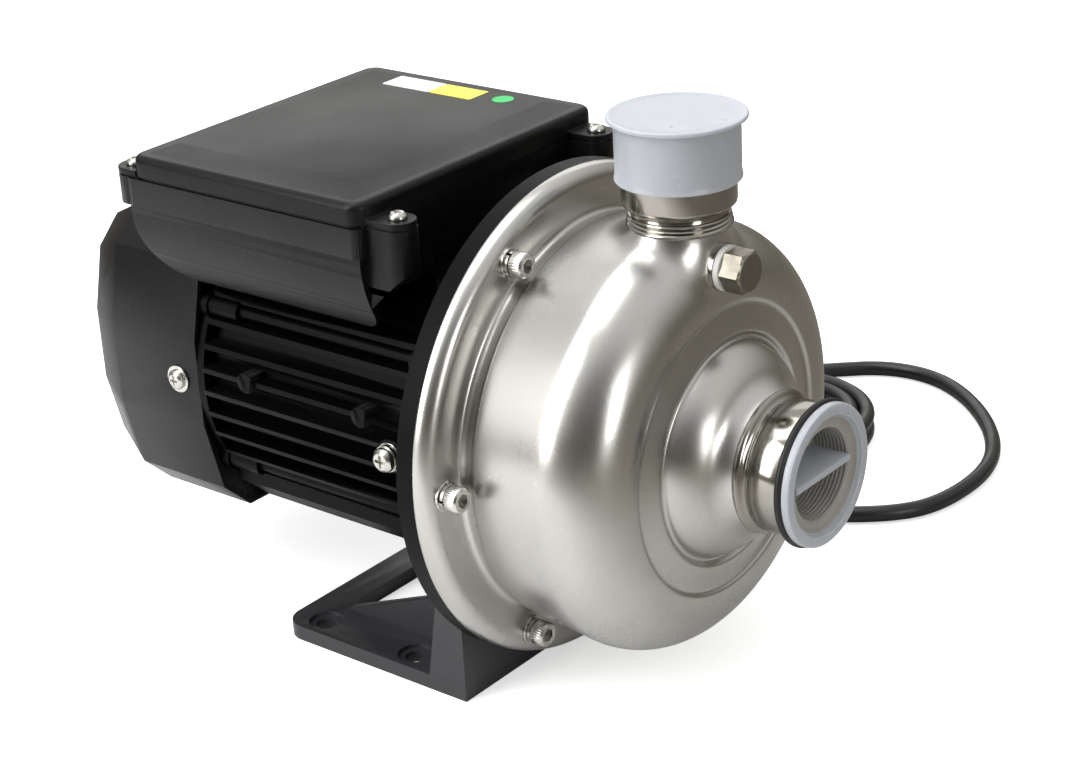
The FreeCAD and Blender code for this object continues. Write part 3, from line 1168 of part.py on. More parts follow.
def priming_washer():
    start = PRIMING_BOSS_END_X
    end = start + PRIMING_WASHER
    ring = tube(start, end, PRIMING_WASHER_R, PRIMING_THREAD_R + SCREW_GAP)
    ring.translate(V(0, 0, PRIMING_UP))
    return ring


def cord_route():
    """Hand-chosen points of the cord: from the gland to the floor, round the loop, to the coil."""
    lie = FLOOR + CORD_R
    exit_y = BOX_HALF_WIDTH + BOX_RIM_PROUD + GLAND_BODY + GLAND_DOME
    return [(GLAND_X, exit_y, GLAND_Z), (-120.0, 112.0, 77.8), (-121.0, 128.4, 71.0),
            (-122.0, 141.5, 58.0), (-124.0, 149.5, 40.5), (-126.0, 153.5, 19.5), (-128.0, 156.0, -9.0),
            (-129.0, 159.0, -38.0), (-130.0, 164.5, -64.0), (-130.5, 174.5, -84.0), (-129.0, 190.0, -96.0),
            (-124.0, 210.0, lie), (-112.0, 232.0, lie), (-91.0, 255.0, lie), (-62.0, 280.0, lie),
            (-39.0, 299.0, lie), (-11.0, 301.0, lie), (18.0, 285.0, lie), (47.0, 255.0, lie),
            (63.0, 222.0, lie), (63.0, 183.0, lie), (52.0, 159.0, lie), (19.0, 137.0, lie),
            (-14.0, 133.0, lie), (-46.0, 139.0, lie), (-72.0, 158.0, lie), (-86.0, 186.0, lie)]


def tail_route():
    """Hand-chosen points of the short end from the coil's upper turn to the plug."""
    high = FLOOR + PLUG_BODY_R
    return [(-52.0, COIL_CENTRE[1] - COIL_TURN_R, -92.4), (-78.0, 163.0, -92.0), (-102.0, 149.0, -88.0),
            (PLUG_END_X + 22.0, PLUG_Y, high), (PLUG_END_X, PLUG_Y, high)]


def rounded_path(points):
    """Straight runs joined by tangent arcs, and the radius of each arc."""
    p = [V(*q) for q in points]
    edges = []
    radii = []
    here = p[0]
    for i in range(1, len(p) - 1):
        before = p[i] - p[i - 1]
        after = p[i + 1] - p[i]
        turn = before.getAngle(after)
        reach = 0.45 * min(before.Length, after.Length)
        radii.append(reach / math.tan(turn / 2))
        u = V(before).normalize()
        w = V(after).normalize()
        start = p[i] - u * reach
        end = p[i] + w * reach
        inward = (w - u).normalize()
        middle = p[i] + inward * (radii[-1] / math.cos(turn / 2) - radii[-1])
        edges.append(Part.LineSegment(here, start).toShape())
        edges.append(Part.Arc(start, middle, end).toShape())
        here = end
    edges.append(Part.LineSegment(here, p[-1]).toShape())
    return Part.Wire(edges), radii


def cord_tube(route):
    """Round tube along a route, with its volume compared with section times length."""
    path, radii = rounded_path(route)
    start = V(*route[0])
    heading = V(*route[1]) - start
    circle = Part.Wire([Part.Circle(start, heading, CORD_R).toShape()])
    tube_solid = path.makePipeShell([circle], True, False)
    share = tube_solid.Volume / (math.pi * CORD_R ** 2 * path.Length)
    print("cord radii", [round(r) for r in radii], "length", round(path.Length), "volume share", round(share, 4))
    return tube_solid


def cord_coil():
    """Outer shape of the coiled rest of the cord, lying flat behind the pump."""
    z = FLOOR
    ring = upright_turned(0.0, (COIL_TURN_R - COIL_WIDE / 2, z + 2), (COIL_TURN_R - COIL_WIDE / 2 + 2, z),
                          (COIL_TURN_R + COIL_WIDE / 2 - 2, z), (COIL_TURN_R + COIL_WIDE / 2, z + 2),
                          (COIL_TURN_R + COIL_WIDE / 2, z + COIL_HIGH - 3),
                          (COIL_TURN_R + COIL_WIDE / 2 - 3, z + COIL_HIGH),
                          (COIL_TURN_R - COIL_WIDE / 2 + 3, z + COIL_HIGH),
                          (COIL_TURN_R - COIL_WIDE / 2, z + COIL_HIGH - 3))
    ring.translate(V(COIL_CENTRE[0], COIL_CENTRE[1], 0))
    return ring


def mains_plug():
    """Round moulded plug body with its tapered strain relief, lying on the floor."""
    high = FLOOR + PLUG_BODY_R
    relief = CORD_R + 4.0
    profile = outline((0, 0), [(CORD_R + 1.2, 0), (relief, PLUG_RELIEF), (PLUG_BODY_R - 7.0, PLUG_RELIEF + 1.0),
                               ((PLUG_BODY_R - 2.0, PLUG_RELIEF + 5.0), (PLUG_BODY_R, PLUG_RELIEF + 14.0)),
                               (PLUG_BODY_R, PLUG_RELIEF + PLUG_BODY - 1.0),
                               (PLUG_BODY_R - 1.0, PLUG_RELIEF + PLUG_BODY), (0, PLUG_RELIEF + PLUG_BODY)])
    body = profile.revolve(V(0, 0, 0), UP, 360)
    body.rotate(V(0, 0, 0), ACROSS, -90)
    body.translate(V(PLUG_END_X, PLUG_Y, high))
    return body


def mains_plug_pins():
    face = PLUG_END_X - PLUG_RELIEF - PLUG_BODY
    pins = []
    for side in (-1, 1):
        pin = rod(face - PLUG_PIN, face, PLUG_PIN_R, PLUG_Y + side * PLUG_PIN_SPACING / 2, FLOOR + PLUG_BODY_R)
        tip = [e for e in pin.Edges if e.BoundBox.XMax < face - PLUG_PIN + 0.1]
        pins.append(pin.makeFillet(PLUG_PIN_R * 0.6, tip))
    return group(pins)


NODES = {}


def place(name, shape):
    """Move a piece from the shaft line to the part's frame and keep it."""
    moved = shape.copy()
    moved.translate(V(FLANGE_AHEAD_OF_HOLES, 0, SHAFT_HEIGHT))
    NODES[name] = moved


def build():
    place("pump_casing", pump_casing())
    place("suction_socket", suction_socket())
    place("discharge_socket", discharge_socket())
    place("priming_boss", priming_boss())
    place("wear_ring", wear_ring())
    place("casing_o_ring", casing_o_ring())
    place("seal_plate", seal_plate())
    place("motor_bracket", motor_bracket())
    screw, spring, flat = flange_stack()
    place("flange_screws", group(around(screw, FLANGE_SCREWS, FIRST_SCREW_TURN)))
    place("flange_spring_washers", group(around(spring, FLANGE_SCREWS, FIRST_SCREW_TURN)))
    place("flange_washers", group(around(flat, FLANGE_SCREWS, FIRST_SCREW_TURN)))
    place("motor_frame", motor_frame())
    place("stator_core", stator_core())
    place("stator_windings", stator_windings())
    place("rear_end_shield", rear_end_shield())
    place("tie_bolts", tie_bolts())
    front, rear = both_bearings()
    place("bearing_outer_rings", group([front[0], rear[0]]))
    place("bearing_inner_rings", group([front[1], rear[1]]))
    place("bearing_balls", group(front[2] + rear[2]))
    place("pump_shaft", pump_shaft())
    place("rotor_core", rotor_core())
    place("impeller", impeller())
    place("impeller_key", impeller_key())
    place("impeller_nut", impeller_nut())
    place("seal_seat", seal_seat())
    place("seal_face", seal_face())
    place("seal_spring", seal_spring())
    place("deflector_ring", deflector_ring())
    place("fan_cover", fan_cover())
    place("fan_cover_screws", group(both_sides(cover_screw())))
    place("cooling_fan", cooling_fan())
    place("terminal_box_base", terminal_box_base())
    place("terminal_box_gasket", terminal_box_gasket())
    place("terminal_box_lid", terminal_box_lid())
    place("lid_screws", lid_screws())
    place("box_fixing_screws", box_fixing_screws())
    place("terminal_block", terminal_block())
    place("run_capacitor", run_capacitor())
    place("cable_gland", cable_gland())
    place("gland_nut", gland_nut())
    place("earth_screw", earth_screw())
    place("earth_washers", earth_washers())
    place("foot", foot())
    place("foot_screws", foot_screws())
    place("discharge_cap", discharge_cap())
    place("suction_plug", suction_plug())
    place("suction_plug_washer", suction_plug_washer())
    place("priming_plug", priming_plug())
    place("priming_washer", priming_washer())
    place("power_cord", cord_tube(cord_route()))
    place("cord_coil", cord_coil())
    place("cord_tail", cord_tube(tail_route()))
    place("mains_plug", mains_plug())
    place("mains_plug_pins", mains_plug_pins())


os.makedirs("parts", exist_ok=True)
build()
for name, shape in NODES.items():
    print(name, len(shape.Solids), "solids", "valid" if shape.isValid() else "INVALID", round(shape.Volume))
    shape.exportStep("parts/" + name + ".step")
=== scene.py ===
# %% [markdown]
# # A chemical pump with a pressed stainless casing
# The pump moves thin, corrosive liquids. A black motor with cooling fins drives an impeller that
# spins inside a bright casing pressed from stainless sheet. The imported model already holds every
# solid piece in its place, so this lesson only dresses it: finer skins where the eye goes, real
# finishes everywhere, the power cord, a plain studio and a camera.

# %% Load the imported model
import bpy, bmesh, json, math
import numpy as np
from mathutils import Matrix, Vector


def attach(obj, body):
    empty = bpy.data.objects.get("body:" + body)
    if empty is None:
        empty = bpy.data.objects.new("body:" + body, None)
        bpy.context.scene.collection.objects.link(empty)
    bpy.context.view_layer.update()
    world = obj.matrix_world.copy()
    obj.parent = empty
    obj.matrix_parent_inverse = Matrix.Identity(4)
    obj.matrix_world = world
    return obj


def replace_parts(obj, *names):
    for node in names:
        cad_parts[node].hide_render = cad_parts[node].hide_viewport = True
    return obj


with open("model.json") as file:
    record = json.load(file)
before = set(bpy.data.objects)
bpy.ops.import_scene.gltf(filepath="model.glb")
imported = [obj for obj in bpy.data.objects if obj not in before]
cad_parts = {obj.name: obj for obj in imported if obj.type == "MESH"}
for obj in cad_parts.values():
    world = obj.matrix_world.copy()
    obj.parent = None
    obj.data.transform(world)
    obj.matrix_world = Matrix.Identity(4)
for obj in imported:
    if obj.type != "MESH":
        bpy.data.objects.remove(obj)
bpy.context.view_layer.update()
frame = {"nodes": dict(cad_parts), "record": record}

# %% [markdown]
# ## Measures shared by every piece
# Shaft pieces are easiest to think about along the shaft, with 0 at the back of the casing's
# flange. One function moves such a point to its place over the floor and turns it to metres.

# %% Shaft coordinates to scene coordinates
MM = 0.001
SHAFT_HEIGHT = 104.0
FLANGE_X = 71.0


def at(x, y, z):
    return Vector(((x + FLANGE_X) * MM, y * MM, (z + SHAFT_HEIGHT) * MM))


print("flange centre", at(0, 0, 0))

# %% [markdown]
# ## The camera
# The picture was taken from the front right and above, with the camera tipped a little. The lens is
# a short telephoto, which keeps the near rim of the casing from swelling. The camera is built
# from three angles and the point that it looks from, so each can be read on its own.

# %% Camera
AZIMUTH, ELEVATION, ROLL = (math.radians(a) for a in (39.709, 23.511, -3.199))
CAMERA_PLACE = at(545.1, -682.9, 391.7)
toward_camera = Vector((math.sin(AZIMUTH) * math.cos(ELEVATION), -math.cos(AZIMUTH) * math.cos(ELEVATION),
                        math.sin(ELEVATION)))
level_right = (-toward_camera).cross(Vector((0, 0, 1))).normalized()
level_up = toward_camera.cross(level_right)
camera_right = level_right * math.cos(ROLL) + level_up * math.sin(ROLL)
camera_up = level_up * math.cos(ROLL) - level_right * math.sin(ROLL)
camera = bpy.data.objects.new("camera", bpy.data.cameras.new("camera"))
bpy.context.scene.collection.objects.link(camera)
camera.data.lens = 80.0
camera.data.sensor_width = 36.0
camera.data.clip_end = 50.0
camera_turn = Matrix((camera_right, camera_up, toward_camera)).transposed().to_4x4()
camera.matrix_world = Matrix.Translation(CAMERA_PLACE) @ camera_turn
bpy.context.scene.camera = camera
bpy.context.scene.view_settings.view_transform = "Standard"
print("camera at", tuple(round(v, 3) for v in camera.location))

# %% [markdown]
# ## Nodes with little typing
# Every material below is a small graph. One helper adds a node, sets what is fixed and links what
# comes from another node. Colours are written as they would be picked on a screen, so a second
# helper turns them to the linear values that light is reckoned in.

# %% Helpers for materials


def linear(colour):
    """An sRGB hex colour as linear red, green, blue and alpha."""
    parts = [int(colour[i:i + 2], 16) / 255 for i in (1, 3, 5)]
    return tuple(c / 12.92 if c <= 0.04045 else ((c + 0.055) / 1.055) ** 2.4 for c in parts) + (1.0,)


def add_node(tree, kind, inputs=None, **settings):
    """Adds a node. An input is a value, or the socket that feeds it."""
    node = tree.nodes.new(kind)
    for key, value in settings.items():
        setattr(node, key, value)
    for key, value in (inputs or {}).items():
        if isinstance(value, bpy.types.NodeSocket):
            tree.links.new(value, node.inputs[key])
        else:
            node.inputs[key].default_value = value
    return node


print("white is", linear("#FFFFFF"))

# %% [markdown]
# ## Floor, lamps and surroundings
# The pump stands on a white sweep. Bright sheet steel is mostly a picture of what is around it, so
# the room matters more than the lamps: pale overhead and at the sides, greyer low down, which
# draws the soft dark and light bands along the casing. The floor adds light of its own for the
# camera only, which lifts it to white and leaves the soft shadow under the pump. In reflections
# the white paper lies mostly to the left of the pump, and somebody dark stands behind the camera.

# %% Floor and surroundings


def new_material(name):
    material = bpy.data.materials.new(name)
    material.use_nodes = True
    material.node_tree.nodes.clear()
    return material, material.node_tree


def set_ramp(ramp, *stops):
    for element, (position, colour) in zip(ramp.color_ramp.elements, stops):
        element.position, element.color = position, colour


def seen_directly(tree):
    """1 for rays from the camera, or for what a clear surface shows."""
    path = add_node(tree, "ShaderNodeLightPath")
    return add_node(tree, "ShaderNodeMath",
                    {0: path.outputs["Is Camera Ray"], 1: path.outputs["Is Transmission Ray"]},
                    operation="MAXIMUM").outputs[0]


PAPER_WHITE = linear("#F2F2F2")
PAPER_MIDDLE, PAPER_ENDS, TABLE_STARTS = (-0.25, -0.30, 0.0), 0.42, 0.74
FLOOR_R, FLOOR_LIFT = 6.0, 0.55
floor_white, tree = new_material("white_sweep")
where = add_node(tree, "ShaderNodeTexCoord")
off_middle = add_node(tree, "ShaderNodeVectorMath", {0: where.outputs["Object"], 1: PAPER_MIDDLE},
                      operation="DISTANCE")
fade = add_node(tree, "ShaderNodeValToRGB", {0: off_middle.outputs["Value"]})
set_ramp(fade, (PAPER_ENDS, PAPER_WHITE), (TABLE_STARTS, linear("#807C73")))
paper = add_node(tree, "ShaderNodeBsdfDiffuse", {"Color": PAPER_WHITE})
lift = add_node(tree, "ShaderNodeEmission", {"Color": linear("#FFFFFF"), "Strength": FLOOR_LIFT})
lit = add_node(tree, "ShaderNodeAddShader", {0: paper.outputs[0], 1: lift.outputs[0]})
table = add_node(tree, "ShaderNodeBsdfDiffuse", {"Color": fade.outputs[0]})
pick = add_node(tree, "ShaderNodeMixShader", {0: seen_directly(tree), 1: table.outputs[0], 2: lit.outputs[0]})
add_node(tree, "ShaderNodeOutputMaterial", {"Surface": pick.outputs[0]})

bpy.ops.mesh.primitive_circle_add(vertices=96, radius=FLOOR_R, fill_type="NGON")
floor = bpy.context.object
floor.name = "floor"
floor.data.materials.append(floor_white)

VIEWER_DIRECTION, VIEWER_EDGE, VIEWER_CORE, VIEWER_SHADE = (0.62, -0.74, 0.25), 0.70, 0.93, 0.35
world = bpy.data.worlds.new("studio")
world.use_nodes = True
tree = world.node_tree
tree.nodes.clear()
bpy.context.scene.world = world
direction = add_node(tree, "ShaderNodeTexCoord")
height = add_node(tree, "ShaderNodeSeparateXYZ", {0: direction.outputs["Generated"]})
ramp = add_node(tree, "ShaderNodeValToRGB", {0: height.outputs["Z"]})
set_ramp(ramp, (0.10, linear("#7C786C")), (0.70, linear("#F0F0F0")))
to_viewer = add_node(tree, "ShaderNodeVectorMath", {0: direction.outputs["Generated"], 1: VIEWER_DIRECTION},
                     operation="DOT_PRODUCT")
figure = add_node(tree, "ShaderNodeMapRange",
                  {"Value": to_viewer.outputs["Value"], "From Min": VIEWER_EDGE, "From Max": VIEWER_CORE,
                   "To Min": 1.0, "To Max": VIEWER_SHADE})
room = add_node(tree, "ShaderNodeBackground", {"Color": ramp.outputs[0], "Strength": figure.outputs[0]})
plain = add_node(tree, "ShaderNodeBackground", {"Color": linear("#FFFFFF"), "Strength": 1.0})
camera_ray = add_node(tree, "ShaderNodeLightPath").outputs["Is Camera Ray"]
shown = add_node(tree, "ShaderNodeMixShader", {0: camera_ray, 1: room.outputs[0], 2: plain.outputs[0]})
add_node(tree, "ShaderNodeOutputWorld", {"Surface": shown.outputs[0]})
print("surroundings of", len(tree.nodes), "nodes")

# %% Lamps


def softbox(name, place, aim, wide, tall, watts):
    lamp = bpy.data.lights.new(name, "AREA")
    lamp.shape, lamp.size, lamp.size_y, lamp.energy = "RECTANGLE", wide, tall, watts
    thing = bpy.data.objects.new(name, lamp)
    bpy.context.scene.collection.objects.link(thing)
    thing.location = place
    thing.rotation_euler = (Vector(aim) - Vector(place)).to_track_quat("-Z", "Y").to_euler()


softbox("overhead_softbox", (-0.25, -0.05, 1.45), (0.05, 0.0, 0.1), 1.1, 0.9, 9)
softbox("left_softbox", (-0.48, -1.12, 0.8), (0.05, 0.0, 0.1), 0.65, 1.4, 18)
softbox("back_softbox", (-0.94, 1.13, 0.82), (0.0, 0.0, 0.2), 1.3, 1.0, 4)
softbox("right_softbox", (1.25, -0.3, 0.4), (0.1, 0.0, 0.1), 0.35, 0.6, 3)

# %% [markdown]
# ## The power cord
# The cord leaves the gland at the back of the terminal box, drops to the floor, swings out in a
# loose loop beside the casing and comes back behind the motor, where the rest is wound in a coil.
# It is one smooth spline. A quadratic NURBS keeps within the corners of its control points, so it
# never kinks and never dips under the floor. The coil's turns are more points of the same
# spline, worked out by a loop: out along the floor layer, in, up, and out again.

# %% Cord route
CORD_R = 3.7
ON_FLOOR = CORD_R - SHAFT_HEIGHT
drop = [(-120, 95, 78.5), (-120, 112, 77.8), (-121, 128.4, 71), (-122, 141.5, 58), (-124, 149.5, 40.5),
        (-126, 153.5, 19.5), (-128, 156, -9), (-129, 159, -38), (-130, 164.5, -64), (-130.5, 174.5, -84),
        (-129, 190, -96)]
along_floor = [(-124, 210), (-112, 232), (-91, 255), (-62, 280), (-39, 299), (-11, 301), (18, 285), (47, 255),
               (63, 222), (63, 183), (52, 159), (19, 137), (-14, 133), (-46, 139), (-72, 158)]
COIL_CENTRE = (-47.0, 207.0)
COIL_R = 41.0
POINTS_PER_TURN = 20
FIRST_ANGLE, SWEPT = 208.0, 1385.0
OUT, IN, LAST = COIL_R + 3.9, COIL_R - 3.9, COIL_R + 0.3
LOW, HIGH = CORD_R, CORD_R * 3 + 0.2
# Where the cord changes its lane, in degrees along the coil.
TO_IN, TO_HIGH, TO_OUT, TO_LAST = (300, 385), (660, 745), (1020, 1105), (1300, 1385)
# The spline cuts its corners, so they lie a little farther out than the turns.
CORNER_SHARE = 0.75


def ease(value, start, end):
    share = min(max((value - start) / (end - start), 0.0), 1.0)
    return share * share * (3 - 2 * share)


coil = []
steps = round(SWEPT / 360 * POINTS_PER_TURN)
for i in range(steps + 1):
    gone = SWEPT * i / steps
    angle = math.radians(FIRST_ANGLE - gone)
    r = OUT + (IN - OUT) * (ease(gone, *TO_IN) - ease(gone, *TO_OUT)) + (LAST - OUT) * ease(gone, *TO_LAST)
    rise = LOW + (HIGH - LOW) * ease(gone, *TO_HIGH)
    r = r / math.cos(math.pi / POINTS_PER_TURN) ** CORNER_SHARE
    coil.append((COIL_CENTRE[0] + r * math.cos(angle), COIL_CENTRE[1] + r * math.sin(angle), rise - SHAFT_HEIGHT))
tail = [(-78, 163, -92), (-102, 149, -88), (-124, 136, -85.5), (-146, 136, -85.5)]
route = drop + [(x, y, ON_FLOOR) for x, y in along_floor] + coil + tail

line = bpy.data.curves.new("power_cord_line", "CURVE")
line.dimensions = "3D"
line.bevel_depth = 1.0
line.bevel_resolution = 6
line.resolution_u = 10
line.use_fill_caps = True
spline = line.splines.new("NURBS")
spline.points.add(len(route) - 1)
for point, place in zip(spline.points, route):
    point.co = (*at(*place), 1.0)
    point.radius = CORD_R * MM
spline.order_u = 3
spline.use_endpoint_u = True
mains_cord = bpy.data.objects.new("mains_cord", line)
bpy.context.scene.collection.objects.link(mains_cord)

# %% [markdown]
# ## Reading a solid's skin
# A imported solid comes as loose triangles. A copy with its corners merged can be shaded smooth over
# its soft bends and left crisp at its edges, which is all that many pieces need before their
# finish.

# %% Merged copies of solids


def skin_of(node, name, body, crease=28.0):
    """A merged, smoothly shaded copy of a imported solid, which it then stands for."""
    mesh = frame["nodes"][node].data.copy()
    mesh.name = name
    mesh.materials.clear()
    bm = bmesh.new()
    bm.from_mesh(mesh)
    bmesh.ops.remove_doubles(bm, verts=bm.verts, dist=1e-6)
    bm.to_mesh(mesh)
    bm.free()
    mesh.shade_smooth()
    mesh.set_sharp_from_angle(angle=math.radians(crease))
    piece = bpy.data.objects.new(name, mesh)
    bpy.context.scene.collection.objects.link(piece)
    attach(piece, body)
    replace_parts(piece, node)
    return piece


print("helper ready for", len(frame["nodes"]), "solids")

# %% [markdown]
# ## Finishes
# Each finish starts from the real material and how its surface was made. Grain, blast texture and
# moulding texture are noise whose size is a real one in millimetres, read in object coordinates so
# that it stays on the piece from every side.

# %% Stainless and plated finishes


BLOTCH_DETAIL, GRAIN_DETAIL = 4.0, 2.0


def grain(tree, size_mm, detail):
    """Noise whose cells are about size_mm across."""
    where = add_node(tree, "ShaderNodeTexCoord")
    return add_node(tree, "ShaderNodeTexNoise", {"Vector": where.outputs["Object"], "Scale": 1000.0 / size_mm,
                                                 "Detail": detail}).outputs["Fac"]


def spread(tree, factor, low, high):
    """The factor's middle range carried to low..high."""
    return add_node(tree, "ShaderNodeMapRange", {"Value": factor, "From Min": 0.3, "From Max": 0.7,
                                                 "To Min": low, "To Max": high}).outputs[0]


def bump(tree, factor, depth_mm):
    return add_node(tree, "ShaderNodeBump", {"Height": factor, "Distance": depth_mm * MM}).outputs[0]


def mixed(tree, factor, first, second):
    """The two colours blended by the factor. Sockets 6 and 7 are the colour inputs."""
    return add_node(tree, "ShaderNodeMix", {0: factor, 6: linear(first), 7: linear(second)},
                    data_type="RGBA").outputs[2]


def surfaced(name, light, dark, rough, blotch_mm, grain_mm, depth_mm, **more):
    """A finish with slow blotches in tone and gloss, and a fine grain in the surface."""
    material, tree = new_material(name)
    slow = grain(tree, blotch_mm, BLOTCH_DETAIL)
    fine = grain(tree, grain_mm, GRAIN_DETAIL)
    inputs = {"Base Color": mixed(tree, slow, light, dark), "Roughness": spread(tree, slow, *rough),
              "Normal": bump(tree, fine, depth_mm)}
    inputs.update({key.replace("_", " "): value for key, value in more.items()})
    shader = add_node(tree, "ShaderNodeBsdfPrincipled", inputs)
    add_node(tree, "ShaderNodeOutputMaterial", {"Surface": shader.outputs[0]})
    return material


def metal(*measures):
    return surfaced(*measures, Metallic=1.0)


# Deep-drawn 304 sheet, blasted with glass beads: soft wide reflections and a faint warm cast.
blasted_stainless = metal("blasted_stainless_sheet", "#C4C3BF", "#B9B7B2", (0.25, 0.32), 26.0, 0.9, 0.012)
# Turned 304, only brushed by the tool: tighter reflections.
turned_stainless = metal("turned_stainless", "#A5A29B", "#97938B", (0.10, 0.20), 12.0, 0.8, 0.006)
# Bright zinc on small steel screws: cool and shiny, a little uneven.
bright_zinc = metal("bright_zinc_plating", "#DAD9D4", "#B6B4AD", (0.16, 0.30), 3.0, 0.5, 0.006)
# Turned steel gone dull and slightly straw-coloured.
tarnished_stainless = metal("tarnished_stainless", "#8E8A80", "#7F7A6E", (0.34, 0.46), 5.0, 0.6, 0.006)
ground_steel = metal("ground_shaft_steel", "#B9B9BA", "#A2A2A4", (0.18, 0.28), 8.0, 0.4, 0.004)
cast_aluminium = metal("cast_aluminium", "#A9A9A7", "#949492", (0.42, 0.55), 10.0, 1.2, 0.03)
lamination_steel = metal("lamination_steel", "#77736D", "#5F5B56", (0.42, 0.56), 7.0, 0.8, 0.02)
enamelled_copper = metal("enamelled_copper", "#A35A2C", "#8A4520", (0.24, 0.34), 4.0, 0.9, 0.02)
drawn_can = metal("drawn_aluminium_can", "#C9C9C9", "#B7B7B8", (0.22, 0.32), 15.0, 0.6, 0.005)
nickel_brass = metal("nickel_plated_brass", "#D2CFC4", "#BDB9AC", (0.12, 0.22), 6.0, 0.5, 0.004)
print("metals ready")

# %% Plastic, paint and rubber finishes
# Black ABS moulded in a spark-eroded tool: an even fine texture with a soft sheen.
textured_abs = surfaced("spark_textured_black_abs", "#121214", "#0D0D0E", (0.32, 0.40), 40.0, 1.0, 0.09,
                        Specular_IOR_Level=0.2)
# Satin black paint over cast aluminium and pressed steel.
satin_paint = surfaced("satin_black_paint", "#060607", "#040405", (0.36, 0.46), 22.0, 1.1, 0.03,
                       Specular_IOR_Level=0.08)
# The pressed steel foot has a paler charcoal powder coat.
charcoal_coat = surfaced("charcoal_powder_coat", "#303134", "#29292C", (0.36, 0.46), 18.0, 0.9, 0.03)
# Milky polyethylene shipping caps: light goes in and comes out again nearby.
milky_pe = surfaced("milky_polyethylene", "#B4B8BF", "#ACB0B7", (0.26, 0.36), 18.0, 1.5, 0.02,
                    Subsurface_Weight=0.5, Subsurface_Radius=(0.012, 0.012, 0.013), Subsurface_Scale=0.4,
                    IOR=1.51)
# The same, darker: painted shade for thin walls, standing in for the shadow and the steel seen through them.
painted_shade_pe = surfaced("milky_polyethylene_before_steel", "#A3A19B", "#918E87", (0.26, 0.36), 9.0, 1.5, 0.02,
                     IOR=1.51)
nitrile = surfaced("black_nitrile_rubber", "#141414", "#0C0C0C", (0.38, 0.55), 6.0, 0.8, 0.02)
pvc_sheath = surfaced("black_pvc_sheath", "#171718", "#101011", (0.28, 0.40), 9.0, 0.9, 0.02)
white_seal = surfaced("white_seal_ring", "#DAD9D4", "#C9C7C0", (0.45, 0.6), 6.0, 0.8, 0.02)
carbon = surfaced("seal_carbon", "#2C2C2E", "#202022", (0.25, 0.35), 5.0, 0.5, 0.01)
black_nylon = surfaced("black_nylon", "#1A1A1B", "#121213", (0.36, 0.48), 8.0, 0.8, 0.02)
# Blank labels are vinyl film with a soft sheen.
white_label = surfaced("blank_white_vinyl_label", "#E8EAEE", "#DEE0E6", (0.32, 0.40), 9.0, 0.8, 0.005)
yellow_label = surfaced("blank_yellow_vinyl_label", "#E9DC3C", "#DDCF34", (0.32, 0.40), 9.0, 0.8, 0.005)
green_dot = surfaced("green_paper_dot", "#2FC466", "#28B55C", (0.40, 0.50), 5.0, 0.6, 0.005)
pale_moulding = surfaced("pale_terminal_moulding", "#CFCCC0", "#BEBBAF", (0.4, 0.5), 6.0, 0.8, 0.02)
print("coatings ready")

# %% Each solid gets its finish
FINISHES = {
    "stainless_casing": blasted_stainless, "stainless_turned": turned_stainless, "zinc_screws": bright_zinc,
    "black_cast": satin_paint, "black_box": textured_abs, "milky_plastic": milky_pe, "black_rubber": nitrile,
    "white_washer": white_seal, "cord_sheath": pvc_sheath, "laminations": lamination_steel,
    "copper_windings": enamelled_copper, "shaft_steel": ground_steel, "cast_aluminium": cast_aluminium,
    "bearing_steel": ground_steel, "seal_carbon": carbon, "fan_plastic": black_nylon,
    "pale_plastic": pale_moulding, "capacitor_can": drawn_can, "plug_pins": nickel_brass,
}
slot_of = {part["node"]: part["material_slot"] for part in frame["record"]["subparts"]}
for name, thing in frame["nodes"].items():
    thing.data.materials.clear()
    thing.data.materials.append(FINISHES[slot_of[name]])
# The motor was sprayed once it was put together, so its rear casting is black outside too.
frame["nodes"]["rear_end_shield"].data.materials[0] = satin_paint
print("finished solids", len(slot_of))

# %% [markdown]
# ## The pressed casing
# The casing is one sheet drawn over a die: a flat flange, a barrel that widens a little towards the
# front, a round shoulder, a ring, a dome and a flare that carries the suction socket. A lathe of
# its section gives all of that. The discharge neck is pulled out of the shoulder, so the two
# flow into each other. Both are level surfaces of distance functions, and a smooth minimum of the two
# distances is the flowing shape, so each ring of points round the neck walks along that surface.

# %% Section of the casing


def arc(start, middle, end, count):
    """Points after start along the circle through three (x, r) points."""
    (ax, ay), (bx, by), (cx, cy) = start, middle, end
    d = 2 * (ax * (by - cy) + bx * (cy - ay) + cx * (ay - by))
    a2, b2, c2 = ax * ax + ay * ay, bx * bx + by * by, cx * cx + cy * cy
    ox = (a2 * (by - cy) + b2 * (cy - ay) + c2 * (ay - by)) / d
    oy = (a2 * (cx - bx) + b2 * (ax - cx) + c2 * (bx - ax)) / d
    first, last = math.atan2(ay - oy, ax - ox), math.atan2(cy - oy, cx - ox)
    swing = (last - first + math.pi) % (2 * math.pi) - math.pi
    r = math.hypot(ax - ox, ay - oy)
    return [(ox + r * math.cos(first + swing * i / count), oy + r * math.sin(first + swing * i / count))
            for i in range(1, count + 1)]


def evened(points, step):
    """The same line with points no more than a step apart."""
    out = [points[0]]
    for a, b in zip(points, points[1:]):
        n = max(1, math.ceil(math.dist(a, b) / step))
        out += [(a[0] + (b[0] - a[0]) * i / n, a[1] + (b[1] - a[1]) * i / n) for i in range(1, n + 1)]
    return out


def softened(points, passes):
    """Rounds corners as a press does, by averaging neighbours. The ends stay."""
    line = np.array(points)
    for _ in range(passes):
        line[1:-1] = (line[:-2] + 2 * line[1:-1] + line[2:]) / 4
    return [tuple(p) for p in line]


